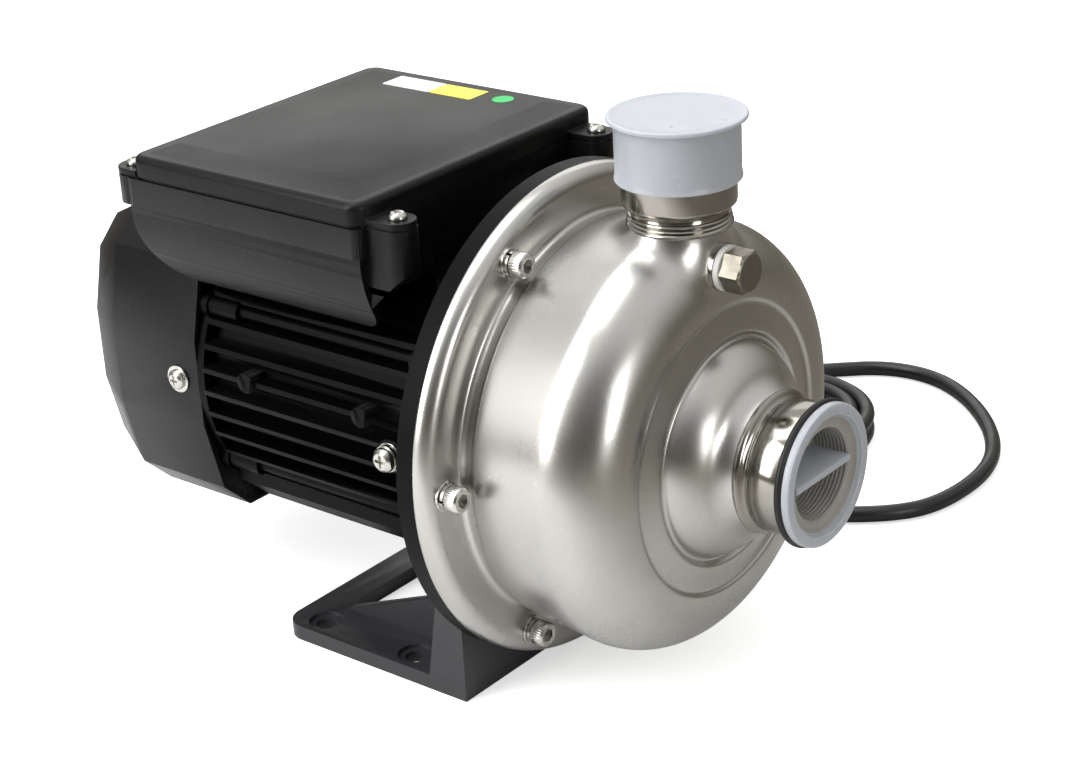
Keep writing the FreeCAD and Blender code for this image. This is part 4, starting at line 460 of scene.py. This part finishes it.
BARREL_X, BARREL_R, BARREL_SWELL = 11.5, 82.8, 3.0
SHOULDER_X, SHOULDER_R, SHOULDER_BEND = 44.4, 60.2, 25.6
RING_X, DOME_R = 70.0, 43.0
flange = [(-3.0, 100.0), (-2.0, 100.0)] + arc((-2.0, 100.0), (2.24, 98.24), (4.0, 94.0), 8)
barrel = flange + [(4.0, 83.5), (4.7, 81.7), (6.5, 81.0), (9.5, 81.0), (BARREL_X, BARREL_R)]
barrel.append((SHOULDER_X, BARREL_R + BARREL_SWELL))
shoulder = arc(barrel[-1], (62.5, 78.3), (RING_X, SHOULDER_R), 20)
step_ring = [(RING_X, 58.5), (68.6, 57.3), (71.5, 46.2), (69.3, 44.6), (69.6, DOME_R)]
dome = arc(step_ring[-1], (76.7, 39.3), (82.0, 33.8), 8) + arc((82.0, 33.8), (85.3, 29.6), (90.0, 27.2), 8)
section = softened(evened(barrel + shoulder + step_ring + dome, 0.8), 2)
print("section points", len(section))

# %% Lathe


def lathe_grid(section, turns):
    """Vertices and quads of a section of (x, r) points turned round the shaft line."""
    points, quads = [], []
    n = len(section)
    for j in range(turns):
        c, s = math.cos(2 * math.pi * j / turns), math.sin(2 * math.pi * j / turns)
        points += [(x, -r * s, r * c) for x, r in section]
    for j in range(turns):
        k = (j + 1) % turns
        quads += [(j * n + i, k * n + i, k * n + i + 1, j * n + i + 1) for i in range(n - 1)]
    return points, quads


def thin_section(section, limit):
    """Leaves out points where the section is nearly straight, for fewer faces."""
    kept = [section[0]]
    for here, after in zip(section[1:], section[2:]):
        before = kept[-1]
        bend = abs(math.remainder(math.atan2(after[1] - here[1], after[0] - here[0])
                                  - math.atan2(here[1] - before[1], here[0] - before[0]), 2 * math.pi))
        if bend > math.radians(1.2) or math.dist(before, here) > limit:
            kept.append(here)
    return kept + [section[-1]]


section = thin_section(section, 2.6)
print("lathe section", len(section))

# %% Where the neck flows into the shoulder
NECK_X, NECK_R, NECK_TOP, FLOW = 49.9, 18.0, 93.0, 11.0
NUDGE = 0.01


def shell_distance(x, y, z):
    r = np.hypot(y, z)
    barrel_r = BARREL_R + BARREL_SWELL * (x - BARREL_X) / (SHOULDER_X - BARREL_X)
    round_part = np.hypot(x - SHOULDER_X, np.maximum(r - SHOULDER_R, 0.0)) - SHOULDER_BEND
    return np.where(x < SHOULDER_X, r - barrel_r, round_part)


def neck_distance(x, y, z):
    return np.hypot(x - NECK_X, y) - NECK_R + 0.05 * np.maximum(76.0 - z, 0.0) ** 2


def flowing(x, y, z):
    a, b = shell_distance(x, y, z), neck_distance(x, y, z)
    near = np.maximum(FLOW - np.abs(a - b), 0.0) / FLOW
    return np.minimum(a, b) - near * near * FLOW / 4


def walk_down(angle, step=0.4, limit=90.0):
    """Follows the flowing surface in one upright plane, from the neck's top until only shell is left."""
    c, s = math.cos(angle), math.sin(angle)

    def level(p):
        return float(flowing(NECK_X + p[0] * c, p[0] * s, p[1]))

    p, heading, line = np.array([NECK_R, NECK_TOP]), np.array([0.0, -1.0]), []
    gone = 0.0
    while gone < limit:
        for _ in range(3):
            g = np.array([level(p + (NUDGE, 0)) - level(p - (NUDGE, 0)),
                          level(p + (0, NUDGE)) - level(p - (0, NUDGE))]) / (2 * NUDGE)
            p = p - g * level(p) / max(float(g @ g), 1e-9)
        line.append((NECK_X + p[0] * c, p[0] * s, p[1]))
        if neck_distance(*line[-1]) > FLOW + 0.4 and p[1] < 90:
            break
        along = np.array([-g[1], g[0]])
        along = along / np.linalg.norm(along)
        heading = along if along @ heading > 0 else -along
        p = p + heading * step
        gone += step
    return line


def resampled(line, count):
    line = np.array(line)
    far = np.concatenate([[0.0], np.cumsum(np.linalg.norm(np.diff(line, axis=0), axis=1))])
    at_lengths = np.linspace(0.0, far[-1], count)
    return np.stack([np.interp(at_lengths, far, line[:, k]) for k in range(3)], axis=1)


AROUND_NECK, DOWN_NECK = 112, 26
neck_lines = [resampled(walk_down(2 * math.pi * i / AROUND_NECK), DOWN_NECK) for i in range(AROUND_NECK)]
print("neck lines", len(neck_lines), "lowest point", round(min(l[-1][2] for l in neck_lines), 1))

# %% Join the neck to the lathe and give the sheet its thickness


def new_piece(name, bm, material, body, smooth=True, crease=35.0):
    """A mesh given in shaft millimetres becomes a piece in its place."""
    bmesh.ops.transform(bm, matrix=Matrix.Translation(at(0, 0, 0)) @ Matrix.Scale(MM, 4), verts=bm.verts)
    mesh = bpy.data.meshes.new(name)
    bm.to_mesh(mesh)
    bm.free()
    if smooth:
        mesh.shade_smooth()
        mesh.set_sharp_from_angle(angle=math.radians(crease))
    mesh.materials.append(material)
    piece = bpy.data.objects.new(name, mesh)
    bpy.context.scene.collection.objects.link(piece)
    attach(piece, body)
    return piece


def baked(piece):
    """Turns a piece's modifiers into its plain mesh."""
    seen = piece.evaluated_get(bpy.context.evaluated_depsgraph_get())
    mesh = bpy.data.meshes.new_from_object(seen)
    mesh.name = piece.name
    piece.modifiers.clear()
    piece.data = mesh
    return piece


CASING_TURNS, SHEET = 224, 2.0
points, quads = lathe_grid(section, CASING_TURNS)
grid = np.array(points)
close = (neck_distance(grid[:, 0], grid[:, 1], grid[:, 2]) < FLOW + 1.6) & (grid[:, 2] > 50.0)
bm = bmesh.new()
verts = [bm.verts.new(p) for p in points]
for quad in quads:
    if not any(close[i] for i in quad):
        bm.faces.new([verts[i] for i in quad])
bmesh.ops.delete(bm, geom=[v for v in bm.verts if not v.link_faces], context="VERTS")
# The open edge round the neck, without the sheet's own two ends.
hole = [e for e in bm.edges if e.is_boundary and min(v.co.z for v in e.verts) > 45
        and -60 < e.verts[0].co.y < 60 and 8 < e.verts[0].co.x < 72 and e.verts[0].co.yz.length < 88]
rings = [[bm.verts.new(neck_lines[i][k]) for i in range(AROUND_NECK)] for k in range(DOWN_NECK)]
for upper, lower in zip(rings, rings[1:]):
    for i in range(AROUND_NECK):
        j = (i + 1) % AROUND_NECK
        bm.faces.new((upper[i], upper[j], lower[j], lower[i]))
edge = [bm.edges.get((rings[-1][i], rings[-1][(i + 1) % AROUND_NECK])) for i in range(AROUND_NECK)]
bmesh.ops.bridge_loops(bm, edges=hole + edge)
bmesh.ops.recalc_face_normals(bm, faces=bm.faces)
print("hole edges", len(hole), "faces", len(bm.faces))
casing_skin = new_piece("pressed_casing", bm, blasted_stainless, "base")
sheet = casing_skin.modifiers.new("sheet", "SOLIDIFY")
sheet.thickness = SHEET * MM
sheet.offset = -1.0
baked(casing_skin)
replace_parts(casing_skin, "pump_casing")

# %% [markdown]
# ## Turned pieces
# Sockets, screws, caps and seals all come off a lathe, so they share one. A point of the profile
# may name an outline that its ring follows instead of a circle: a hexagon for a key, a cross for a
# driver, fine ridges for fingers, or a thread, whose radius depends on the turn as well.

# %% A lathe for any line


def line_at(centre, axis):
    """Places a distance along a line, a radius and a turn."""
    centre, axis = Vector(centre), Vector(axis)
    first = Vector((1, 0, 0)) if abs(axis.z) > 0.5 else Vector((0, 0, 1))
    second = axis.cross(first)

    def place(along, r, turn):
        return centre + axis * along + first * (r * math.cos(turn)) + second * (r * math.sin(turn))
    return place


def hexagon(turn, along):
    return 1 / math.cos((turn + math.pi / 6) % (math.pi / 3) - math.pi / 6)


def cross(turn, along):
    """A plus sign with arms as long as 1 and 0.24 to each side."""
    off = abs((turn + math.pi / 4) % (math.pi / 2) - math.pi / 4)
    return min(1 / math.cos(off), 0.24 / max(math.sin(off), 1e-6))


def ridges(turn, along):
    return 1 + 0.05 * abs(math.sin(18 * turn))


def thread(pitch, share):
    """Rings of a screw thread: the radius swells by the share, once per pitch, one pitch further per turn."""
    def swell(turn, along):
        return 1 + share * (abs((along / pitch - turn / (2 * math.pi)) % 1 * 2 - 1) - 0.5)
    return swell


def lathe(bm, profile, place, turns=72, closed=False):
    """Turns (along, radius, outline) points round a line."""
    rings = []
    for along, r, *outline in profile:
        shape = outline[0] if outline else None
        count = 1 if r < 1e-6 else turns
        rings.append([bm.verts.new(place(along, r * (shape(2 * math.pi * j / turns, along) if shape else 1.0),
                                         2 * math.pi * j / turns)) for j in range(count)])
    for a, b in list(zip(rings, rings[1:])) + ([(rings[-1], rings[0])] if closed else []):
        for j in range(turns):
            k = (j + 1) % turns
            corners = list(dict.fromkeys((a[j % len(a)], a[k % len(a)], b[k % len(b)], b[j % len(b)])))
            bm.faces.new(corners)
    bmesh.ops.recalc_face_normals(bm, faces=bm.faces)


def threaded(start, end, r, pitch, depth):
    """Profile points of a thread between two distances, six to a pitch."""
    count = math.ceil(abs(end - start) / pitch * 6)
    cut = thread(pitch, depth / r)
    return [(start + (end - start) * i / count, r, cut) for i in range(1, count)]


SHAFT_LINE = line_at((0, 0, 0), (1, 0, 0))
PORT_PITCH = 2.31
print("lathe ready")

# %% Pipe sockets
# The discharge socket stands on the neck. Three fine rings are rolled in the neck under it.
DISCHARGE_LINE = line_at((NECK_X, 0, 0), (0, 0, 1))
neck_rings = [(93.0, 15.15), (93.0, 17.0), (88.0, 17.0), (88.0, 19.5), (88.5, 20.1), (89.0, 20.25), (89.5, 20.0),
              (89.9, 19.3), (90.2, 19.55), (90.7, 19.85), (91.2, 19.5), (91.5, 18.9), (91.9, 19.3), (92.4, 19.5),
              (92.9, 19.2), (93.2, 18.5), (93.8, 18.25), (94.7, 18.2), (95.2, 18.6), (95.7, 19.6), (96.3, 20.9),
              (97.0, 21.6), (98.0, 21.8)]
upper_end = [(128.0, 21.8), (128.5, 21.6), (128.8, 21.1), (128.8, 15.95), (128.0, 15.3)]
bm = bmesh.new()
lathe(bm, neck_rings + upper_end + threaded(128.0, NECK_TOP, 15.4, PORT_PITCH, 0.9), DISCHARGE_LINE, 96, True)
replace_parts(new_piece("discharge_socket_turned", bm, turned_stainless, "base"), "discharge_socket")

# The suction socket is let into the flare behind a rolled bead and a shallow weld groove.
bead = [(90.0, 19.6), (90.0, 27.3), (90.5, 27.9), (91.2, 28.05), (91.9, 27.7), (92.5, 26.8), (93.1, 25.7),
        (93.7, 25.3), (94.3, 25.35), (94.6, 25.8), (95.0, 26.0)]
outer_end = [(107.6, 26.0), (108.1, 25.8), (108.3, 25.3), (108.3, 20.4), (107.6, 19.8)]
bm = bmesh.new()
lathe(bm, bead + outer_end + threaded(107.6, 90.0, 19.8, PORT_PITCH, 0.9), SHAFT_LINE, 112, True)
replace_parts(new_piece("suction_socket_turned", bm, turned_stainless, "base"), "suction_socket")
print("sockets done")

# %% Shipping cap and plug
cap = [(129.1, 0.0), (129.1, 20.8), (128.7, 21.6), (127.8, 22.0), (106.0, 22.0), (106.0, 23.7), (106.3, 23.95),
       (106.9, 23.95), (107.4, 23.8), (108.4, 23.65), (109.4, 23.6), (127.6, 23.6), (128.3, 23.8), (128.7, 24.4),
       (128.9, 25.8), (129.2, 26.3), (129.7, 26.4), (130.3, 26.3), (130.6, 26.0), (130.7, 25.3), (130.6, 24.6),
       (130.3, 23.7), (130.15, 22.0), (130.1, 12.0), (130.1, 0.0)]
bm = bmesh.new()
lathe(bm, cap, DISCHARGE_LINE, 96)
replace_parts(new_piece("discharge_cap_moulded", bm, milky_pe, "discharge_cap"), "discharge_cap")

outside = [(94.3, 0.0), (94.3, 18.7), (94.8, 19.1)] + threaded(94.8, 110.6, 19.05, PORT_PITCH, 0.5)
rim = [(111.0, 19.1), (111.3, 19.6), (111.3, 27.3), (111.6, 27.8), (112.1, 27.9), (113.6, 27.9), (114.4, 27.6),
       (114.7, 26.9), (114.7, 23.9), (114.4, 23.5), (113.3, 23.3), (113.0, 23.0), (113.0, 22.4), (112.7, 22.1),
       (112.0, 21.8), (111.9, 19.0), (111.7, 18.5)]
inside = threaded(111.5, 96.2, 18.05, 1.6, 0.35) + [(95.8, 17.6), (95.8, 0.0)]
bm = bmesh.new()
lathe(bm, outside + rim + inside, SHAFT_LINE, 112)
plug = new_piece("suction_plug_cup", bm, milky_pe, "suction_plug")
# The cup's inside and the step in its mouth get the painted shade, for the shadow and the steel behind their thin
# walls.
plug.data.materials.append(painted_shade_pe)
cup_floor, cup_wall, step_edge, step_floor = (v * MM for v in (95.6, 18.45, 22.3, 111.45))
for face in plug.data.polygons:
    far = math.hypot(face.center.y, face.center.z - SHAFT_HEIGHT * MM)
    ahead = face.center.x - at(0, 0, 0)[0]
    if ahead > cup_floor and far < step_edge and (far < cup_wall or ahead > step_floor):
        face.material_index = 1
print("shaded faces", sum(f.material_index for f in plug.data.polygons), "of", len(plug.data.polygons))

# The grip web across the cup: a plate with rounded front edges.
half, front, reach = 1.5, 112.6, 18.4
edge = [(95.6, -half), (front - 0.8, -half), (front - 0.2, -half + 0.35), (front, 0.0), (front - 0.2, half - 0.35),
        (front - 0.8, half), (95.6, half)]
bm = bmesh.new()
sides = [[bm.verts.new((x, y, z)) for x, z in edge] for y in (-reach, reach)]
for i in range(len(edge)):
    k = (i + 1) % len(edge)
    bm.faces.new((sides[0][i], sides[0][k], sides[1][k], sides[1][i]))
bm.faces.new(sides[0])
bm.faces.new(sides[1])
bmesh.ops.recalc_face_normals(bm, faces=bm.faces)
new_piece("suction_plug_web", bm, milky_pe, "suction_plug")
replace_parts(plug, "suction_plug")

seal = [(108.3, 20.8), (108.3, 27.5), (108.7, 28.3), (109.3, 28.75), (109.8, 28.8), (110.3, 28.75), (110.9, 28.3),
        (111.3, 27.5), (111.3, 20.8)]
bm = bmesh.new()
lathe(bm, seal, SHAFT_LINE, 112, True)
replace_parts(new_piece("suction_plug_seal", bm, nitrile, "suction_washer"), "suction_plug_washer")
print("cap, plug and seal done")

# %% [markdown]
# ## Screws
# One screw is made for each kind, with its washers. A small node group then sets copies: on a circle
# for the flange, and at given places for the lid. Its result is turned to a plain mesh.

# %% One screw of each kind


def screw_head(bm, place, seat, r, height):
    """A pan head with a cross recess for the driver."""
    recess = r * 0.52
    lathe(bm, [(seat, 0.0), (seat, r * 0.97), (seat + 0.1 * height, r), (seat + 0.4 * height, r),
               (seat + 0.68 * height, r * 0.9), (seat + 0.88 * height, r * 0.72), (seat + 0.97 * height, r * 0.66),
               (seat + height, recess, cross), (seat + 0.62 * height, recess * 0.8, cross),
               (seat + 0.35 * height, recess * 0.34, cross), (seat + 0.3 * height, 0.0)], place)


def ring(bm, place, start, end, outer, inner, turns=48):
    soft = min(0.15, (end - start) / 4)
    lathe(bm, [(start, inner), (start, outer - soft), (start + soft, outer), (end - soft, outer), (end, outer - soft),
               (end, inner)], place, turns, True)


def split_ring(bm, place, start, end, outer, inner, steps=44):
    """A spring washer: a flat bar wound once round, with a slit."""
    gap, rise = 0.11, 0.25
    loops = []
    for i in range(steps + 1):
        turn = gap + (2 * math.pi - 2 * gap) * i / steps
        up = rise * i / steps
        loops.append([bm.verts.new(place(a, r, turn)) for a, r in
                      ((start + up, inner), (start + up, outer), (end - rise + up, outer), (end - rise + up, inner))])
    for a, b in zip(loops, loops[1:]):
        for i in range(4):
            bm.faces.new((a[i], a[(i + 1) % 4], b[(i + 1) % 4], b[i]))
    bm.faces.new(loops[0])
    bm.faces.new(loops[-1])
    bmesh.ops.recalc_face_normals(bm, faces=bm.faces)


def loose_mesh(name, bm):
    """A mesh in its own millimetres, kept as the model that copies are made from."""
    bmesh.ops.transform(bm, matrix=Matrix.Scale(MM, 4), verts=bm.verts)
    mesh = bpy.data.meshes.new(name)
    bm.to_mesh(mesh)
    bm.free()
    mesh.shade_smooth()
    mesh.set_sharp_from_angle(angle=math.radians(32))
    model = bpy.data.objects.new(name, mesh)
    bpy.context.scene.collection.objects.link(model)
    return model


bm = bmesh.new()
own_line = line_at((0, 0, 0), (1, 0, 0))
ring(bm, own_line, 4.0, 5.2, 6.0, 3.2)
split_ring(bm, own_line, 5.2, 6.8, 5.1, 3.2)
lathe(bm, [(6.8, 0.0), (6.8, 4.6), (7.1, 4.85), (7.4, 4.85, ridges), (11.9, 4.85, ridges), (12.3, 4.8), (12.8, 4.3),
           (12.8, 3.3), (12.55, 2.5, hexagon), (8.6, 2.5, hexagon), (8.0, 0.0)], own_line)
flange_screw_model = loose_mesh("socket_head_screw", bm)
bm = bmesh.new()
screw_head(bm, line_at((0, 0, 0), (0, 0, 1)), 0.0, 3.8, 2.6)
lid_screw_model = loose_mesh("pan_head_screw", bm)
print("faces", len(flange_screw_model.data.polygons), len(lid_screw_model.data.polygons))

# %% Node groups that set the screws


def node_group(name, inputs):
    tree = bpy.data.node_groups.new(name, "GeometryNodeTree")
    tree.interface.new_socket("Geometry", in_out="INPUT", socket_type="NodeSocketGeometry")
    sockets = {label: tree.interface.new_socket(label, in_out="INPUT", socket_type=kind) for label, kind in inputs}
    tree.interface.new_socket("Geometry", in_out="OUTPUT", socket_type="NodeSocketGeometry")
    return tree, {label: socket.identifier for label, socket in sockets.items()}


def close_group(tree, given, instances):
    """Copies become real faces with the finish of the screws."""
    real = add_node(tree, "GeometryNodeRealizeInstances", {0: instances})
    painted = add_node(tree, "GeometryNodeSetMaterial", {0: real.outputs[0], "Material": given.outputs["Material"]})
    add_node(tree, "NodeGroupOutput", {0: painted.outputs[0]})


def run_group(name, tree, settings, mesh):
    """Applies a node group to a mesh and keeps the plain result."""
    piece = bpy.data.objects.new(name, mesh)
    bpy.context.scene.collection.objects.link(piece)
    modifier = piece.modifiers.new(tree.name, "NODES")
    modifier.node_group = tree
    for identifier, value in settings.items():
        modifier[identifier] = value
    return baked(piece)


FLANGE_SCREWS, BOLT_CIRCLE_R, FIRST_SCREW_TURN = 6, 90, 30
circle, named = node_group("bolt_circle", (("Screw", "NodeSocketObject"), ("Count", "NodeSocketInt"),
                                           ("Radius", "NodeSocketFloat"), ("First Turn", "NodeSocketFloat"),
                                           ("Centre", "NodeSocketVector"), ("Material", "NodeSocketMaterial")))
given = add_node(circle, "NodeGroupInput")
centres = add_node(circle, "GeometryNodePoints",
                   {"Count": given.outputs["Count"], "Position": given.outputs["Centre"]})
share = add_node(circle, "ShaderNodeMath", {0: add_node(circle, "GeometryNodeInputIndex").outputs[0],
                                            1: given.outputs["Count"]}, operation="DIVIDE")
turned = add_node(circle, "ShaderNodeMath", {0: share.outputs[0], 1: 2 * math.pi, 2: given.outputs["First Turn"]},
                  operation="MULTIPLY_ADD")
facing = add_node(circle, "ShaderNodeCombineXYZ", {"X": turned.outputs[0]})
model = add_node(circle, "GeometryNodeObjectInfo", {"Object": given.outputs["Screw"]})
copies = add_node(circle, "GeometryNodeInstanceOnPoints",
                  {"Points": centres.outputs[0], "Instance": model.outputs["Geometry"],
                   "Rotation": facing.outputs[0]})
outward = add_node(circle, "ShaderNodeCombineXYZ", {"Z": given.outputs["Radius"]})
set_out = add_node(circle, "GeometryNodeTranslateInstances",
                   {0: copies.outputs[0], "Translation": outward.outputs[0]})
close_group(circle, given, set_out.outputs[0])
flange_screws = run_group("flange_bolt_circle", circle,
                          {named["Screw"]: flange_screw_model, named["Count"]: FLANGE_SCREWS,
                           named["Radius"]: BOLT_CIRCLE_R * MM,
                           named["First Turn"]: math.radians(FIRST_SCREW_TURN), named["Centre"]: at(0, 0, 0),
                           named["Material"]: bright_zinc}, bpy.data.meshes.new("flange_bolt_circle"))
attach(flange_screws, "base")
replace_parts(flange_screws, "flange_screws", "flange_spring_washers", "flange_washers")

places, named = node_group("screws_at_places", (("Screw", "NodeSocketObject"), ("Material", "NodeSocketMaterial")))
given = add_node(places, "NodeGroupInput")
model = add_node(places, "GeometryNodeObjectInfo", {"Object": given.outputs["Screw"]})
copies = add_node(places, "GeometryNodeInstanceOnPoints",
                  {"Points": given.outputs["Geometry"], "Instance": model.outputs["Geometry"]})
close_group(places, given, copies.outputs[0])
ears = bpy.data.meshes.new("lid_screw_places")
EAR_TOP = 93.2
EAR_SCREWS = ((-35.5, 61.5), (-35.5, -61.5), (-174.0, 66.0), (-174.0, -66.0))
ears.from_pydata([at(x, y, EAR_TOP) for x, y in EAR_SCREWS], [], [])
lid_screws = run_group("lid_screw_heads", places,
                       {named["Screw"]: lid_screw_model, named["Material"]: bright_zinc}, ears)
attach(lid_screws, "base")
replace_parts(lid_screws, "lid_screws")
for model in (flange_screw_model, lid_screw_model):
    bpy.data.objects.remove(model)
print("flange screws", len(flange_screws.data.polygons), "lid screws", len(lid_screws.data.polygons), "faces")

# %% Fan cover screws, earthing screw and priming plug
bm = bmesh.new()
for side in (-1, 1):
    outward_line = line_at((-164.0, 0, 0), (0, side, 0))
    lathe(bm, [(65.5, 0.0), (65.5, 5.9), (65.7, 6.0), (66.3, 6.0), (66.5, 5.8), (66.5, 0.0)], outward_line)
    screw_head(bm, outward_line, 66.5, 4.3, 2.2)
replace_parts(new_piece("fan_cover_screw_heads", bm, bright_zinc, "base"), "fan_cover_screws")

bm = bmesh.new()
earth_line = line_at((-43.0, 0, -4.5), (0, -1, 0))
screw_head(bm, earth_line, 71.4, 5.2, 3.2)
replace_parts(new_piece("earth_screw_head", bm, bright_zinc, "base"), "earth_screw")
bm = bmesh.new()
ring(bm, earth_line, 68.0, 69.2, 6.0, 2.7)
split_ring(bm, earth_line, 69.2, 70.2, 4.6, 2.7)
ring(bm, earth_line, 70.2, 71.4, 5.6, 2.7)
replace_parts(new_piece("earth_washer_stack", bm, bright_zinc, "base"), "earth_washers")

bm = bmesh.new()
priming_line = line_at((0, 0, 74.0), (1, 0, 0))
lathe(bm, [(60.4, 0.0), (60.4, 5.2), (60.9, 5.7)] + threaded(60.9, 72.0, 5.45, 1.34, 0.5)
      + [(72.2, 5.7), (72.4, 5.8), (72.4, 7.2), (72.7, 7.5, hexagon), (80.5, 7.5, hexagon), (81.2, 7.35),
         (81.4, 7.1), (81.4, 0.0)], priming_line)
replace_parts(new_piece("priming_plug_turned", bm, tarnished_stainless, "priming_plug", crease=20.0), "priming_plug")
bm = bmesh.new()
ring(bm, priming_line, 70.0, 72.4, 8.8, 6.15, 72)
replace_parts(new_piece("priming_seal_ring", bm, white_seal, "priming_washer"), "priming_washer")
print("small screws and priming plug done")

# %% [markdown]
# ## Moulded and cast housings
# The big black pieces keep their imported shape. Their flat faces are joined, and a narrow bevel on
# the hard edges catches the light as a moulded or painted edge does.

# %% Bevelled copies


def eased_skin(node, name, width_mm, material, crease=30.0):
    """A copy of a solid with its flat faces joined and its hard edges eased."""
    piece = skin_of(node, name, "base")
    bm = bmesh.new()
    bm.from_mesh(piece.data)
    bmesh.ops.dissolve_limit(bm, angle_limit=math.radians(0.4), verts=bm.verts, edges=bm.edges, delimit={"NORMAL"})
    bm.to_mesh(piece.data)
    bm.free()
    easing = piece.modifiers.new("easing", "BEVEL")
    easing.width = width_mm * MM
    easing.segments = 2
    easing.limit_method = "ANGLE"
    easing.angle_limit = math.radians(crease)
    easing.harden_normals = True
    baked(piece)
    piece.data.materials.clear()
    piece.data.materials.append(material)
    return piece


for node, width, material in (("terminal_box_lid", 0.5, textured_abs), ("terminal_box_base", 0.5, textured_abs),
                              ("fan_cover", 0.6, textured_abs), ("foot", 0.5, charcoal_coat)):
    eased = eased_skin(node, node + "_eased", width, material)
    print(eased.name, len(eased.data.polygons))
for node, material in (("motor_frame", satin_paint), ("gland_nut", black_nylon), ("cable_gland", black_nylon)):
    skin_of(node, node + "_skin", "base", 20.0).data.materials.append(material)

# %% Blank labels on the lid
LID_TOP, LABEL_THICKNESS = 102.8, 0.12
DOT_X, DOT_Y, DOT_R = -77.0, 52.5, 4.6


def label(name, outline, z, material):
    """A thin film with a flat top, given by its outline from above."""
    bm = bmesh.new()
    low, high = ([bm.verts.new((x, y, z + lift)) for x, y in outline] for lift in (0.0, LABEL_THICKNESS))
    bm.faces.new(low)
    bm.faces.new(high)
    for i in range(len(outline)):
        k = (i + 1) % len(outline)
        bm.faces.new((low[i], low[k], high[k], high[i]))
    bmesh.ops.recalc_face_normals(bm, faces=bm.faces)
    return new_piece(name, bm, material, "base", smooth=False)


def rectangle(x0, x1, y0, y1, r=0.8):
    corners = ((x1 - r, y1 - r, 0), (x0 + r, y1 - r, 90), (x0 + r, y0 + r, 180), (x1 - r, y0 + r, 270))
    return [(x + r * math.cos(math.radians(a + 15 * i)), y + r * math.sin(math.radians(a + 15 * i)))
            for x, y, a in corners for i in range(7)]


label("label_white", rectangle(-138.0, -112.2, 45.0, 58.0), LID_TOP, white_label)
label("label_yellow", rectangle(-112.0, -89.0, 45.0, 58.0), LID_TOP, yellow_label)
label("label_dot", [(DOT_X + DOT_R * math.cos(a), DOT_Y + DOT_R * math.sin(a))
                    for a in np.linspace(0, 2 * math.pi, 48, endpoint=False)], LID_TOP, green_dot)
print("labels done")

# %% Cord relief in the gland
# A rubber sleeve leaves the gland with the cord and gets thinner along it, with a few soft ribs.
SLEEVE_R, SLEEVE_TAPER, RIB, RIBS = 6.6, 2.2, 0.25, 7
start, bend, after = (Vector(at(*place)) for place in drop[:3])
end = (bend + after) / 2
bm = bmesh.new()
loops, around_sleeve, along_sleeve = [], 28, 40
for i in range(along_sleeve + 1):
    t = i / along_sleeve
    middle = start * (1 - t) ** 2 + bend * 2 * t * (1 - t) + end * t ** 2
    heading = ((bend - start) * (1 - t) + (end - bend) * t).normalized()
    side = heading.cross(Vector((1, 0, 0))).normalized()
    rib = RIB * math.cos(2 * math.pi * RIBS * t) if 0.1 < t < 0.95 else RIB
    r = (SLEEVE_R - SLEEVE_TAPER * t + rib) * MM
    loops.append([bm.verts.new(middle + r * (side * math.cos(a) + side.cross(heading) * math.sin(a)))
                  for a in np.linspace(0, 2 * math.pi, around_sleeve, endpoint=False)])
for a, b in zip(loops, loops[1:]):
    for i in range(around_sleeve):
        k = (i + 1) % around_sleeve
        bm.faces.new((a[i], a[k], b[k], b[i]))
bm.faces.new(loops[0])
bm.faces.new(loops[-1])
bmesh.ops.recalc_face_normals(bm, faces=bm.faces)
# The sleeve was worked out in metres, and a new piece is given in shaft millimetres.
bmesh.ops.transform(bm, matrix=(Matrix.Translation(at(0, 0, 0)) @ Matrix.Scale(MM, 4)).inverted(), verts=bm.verts)
new_piece("cord_relief_sleeve", bm, nitrile, "base")
print("relief", round((end - start).length * 1000, 1), "mm")

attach(mains_cord, "base")
line.materials.append(pvc_sheath)
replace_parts(mains_cord, "power_cord", "cord_coil", "cord_tail")
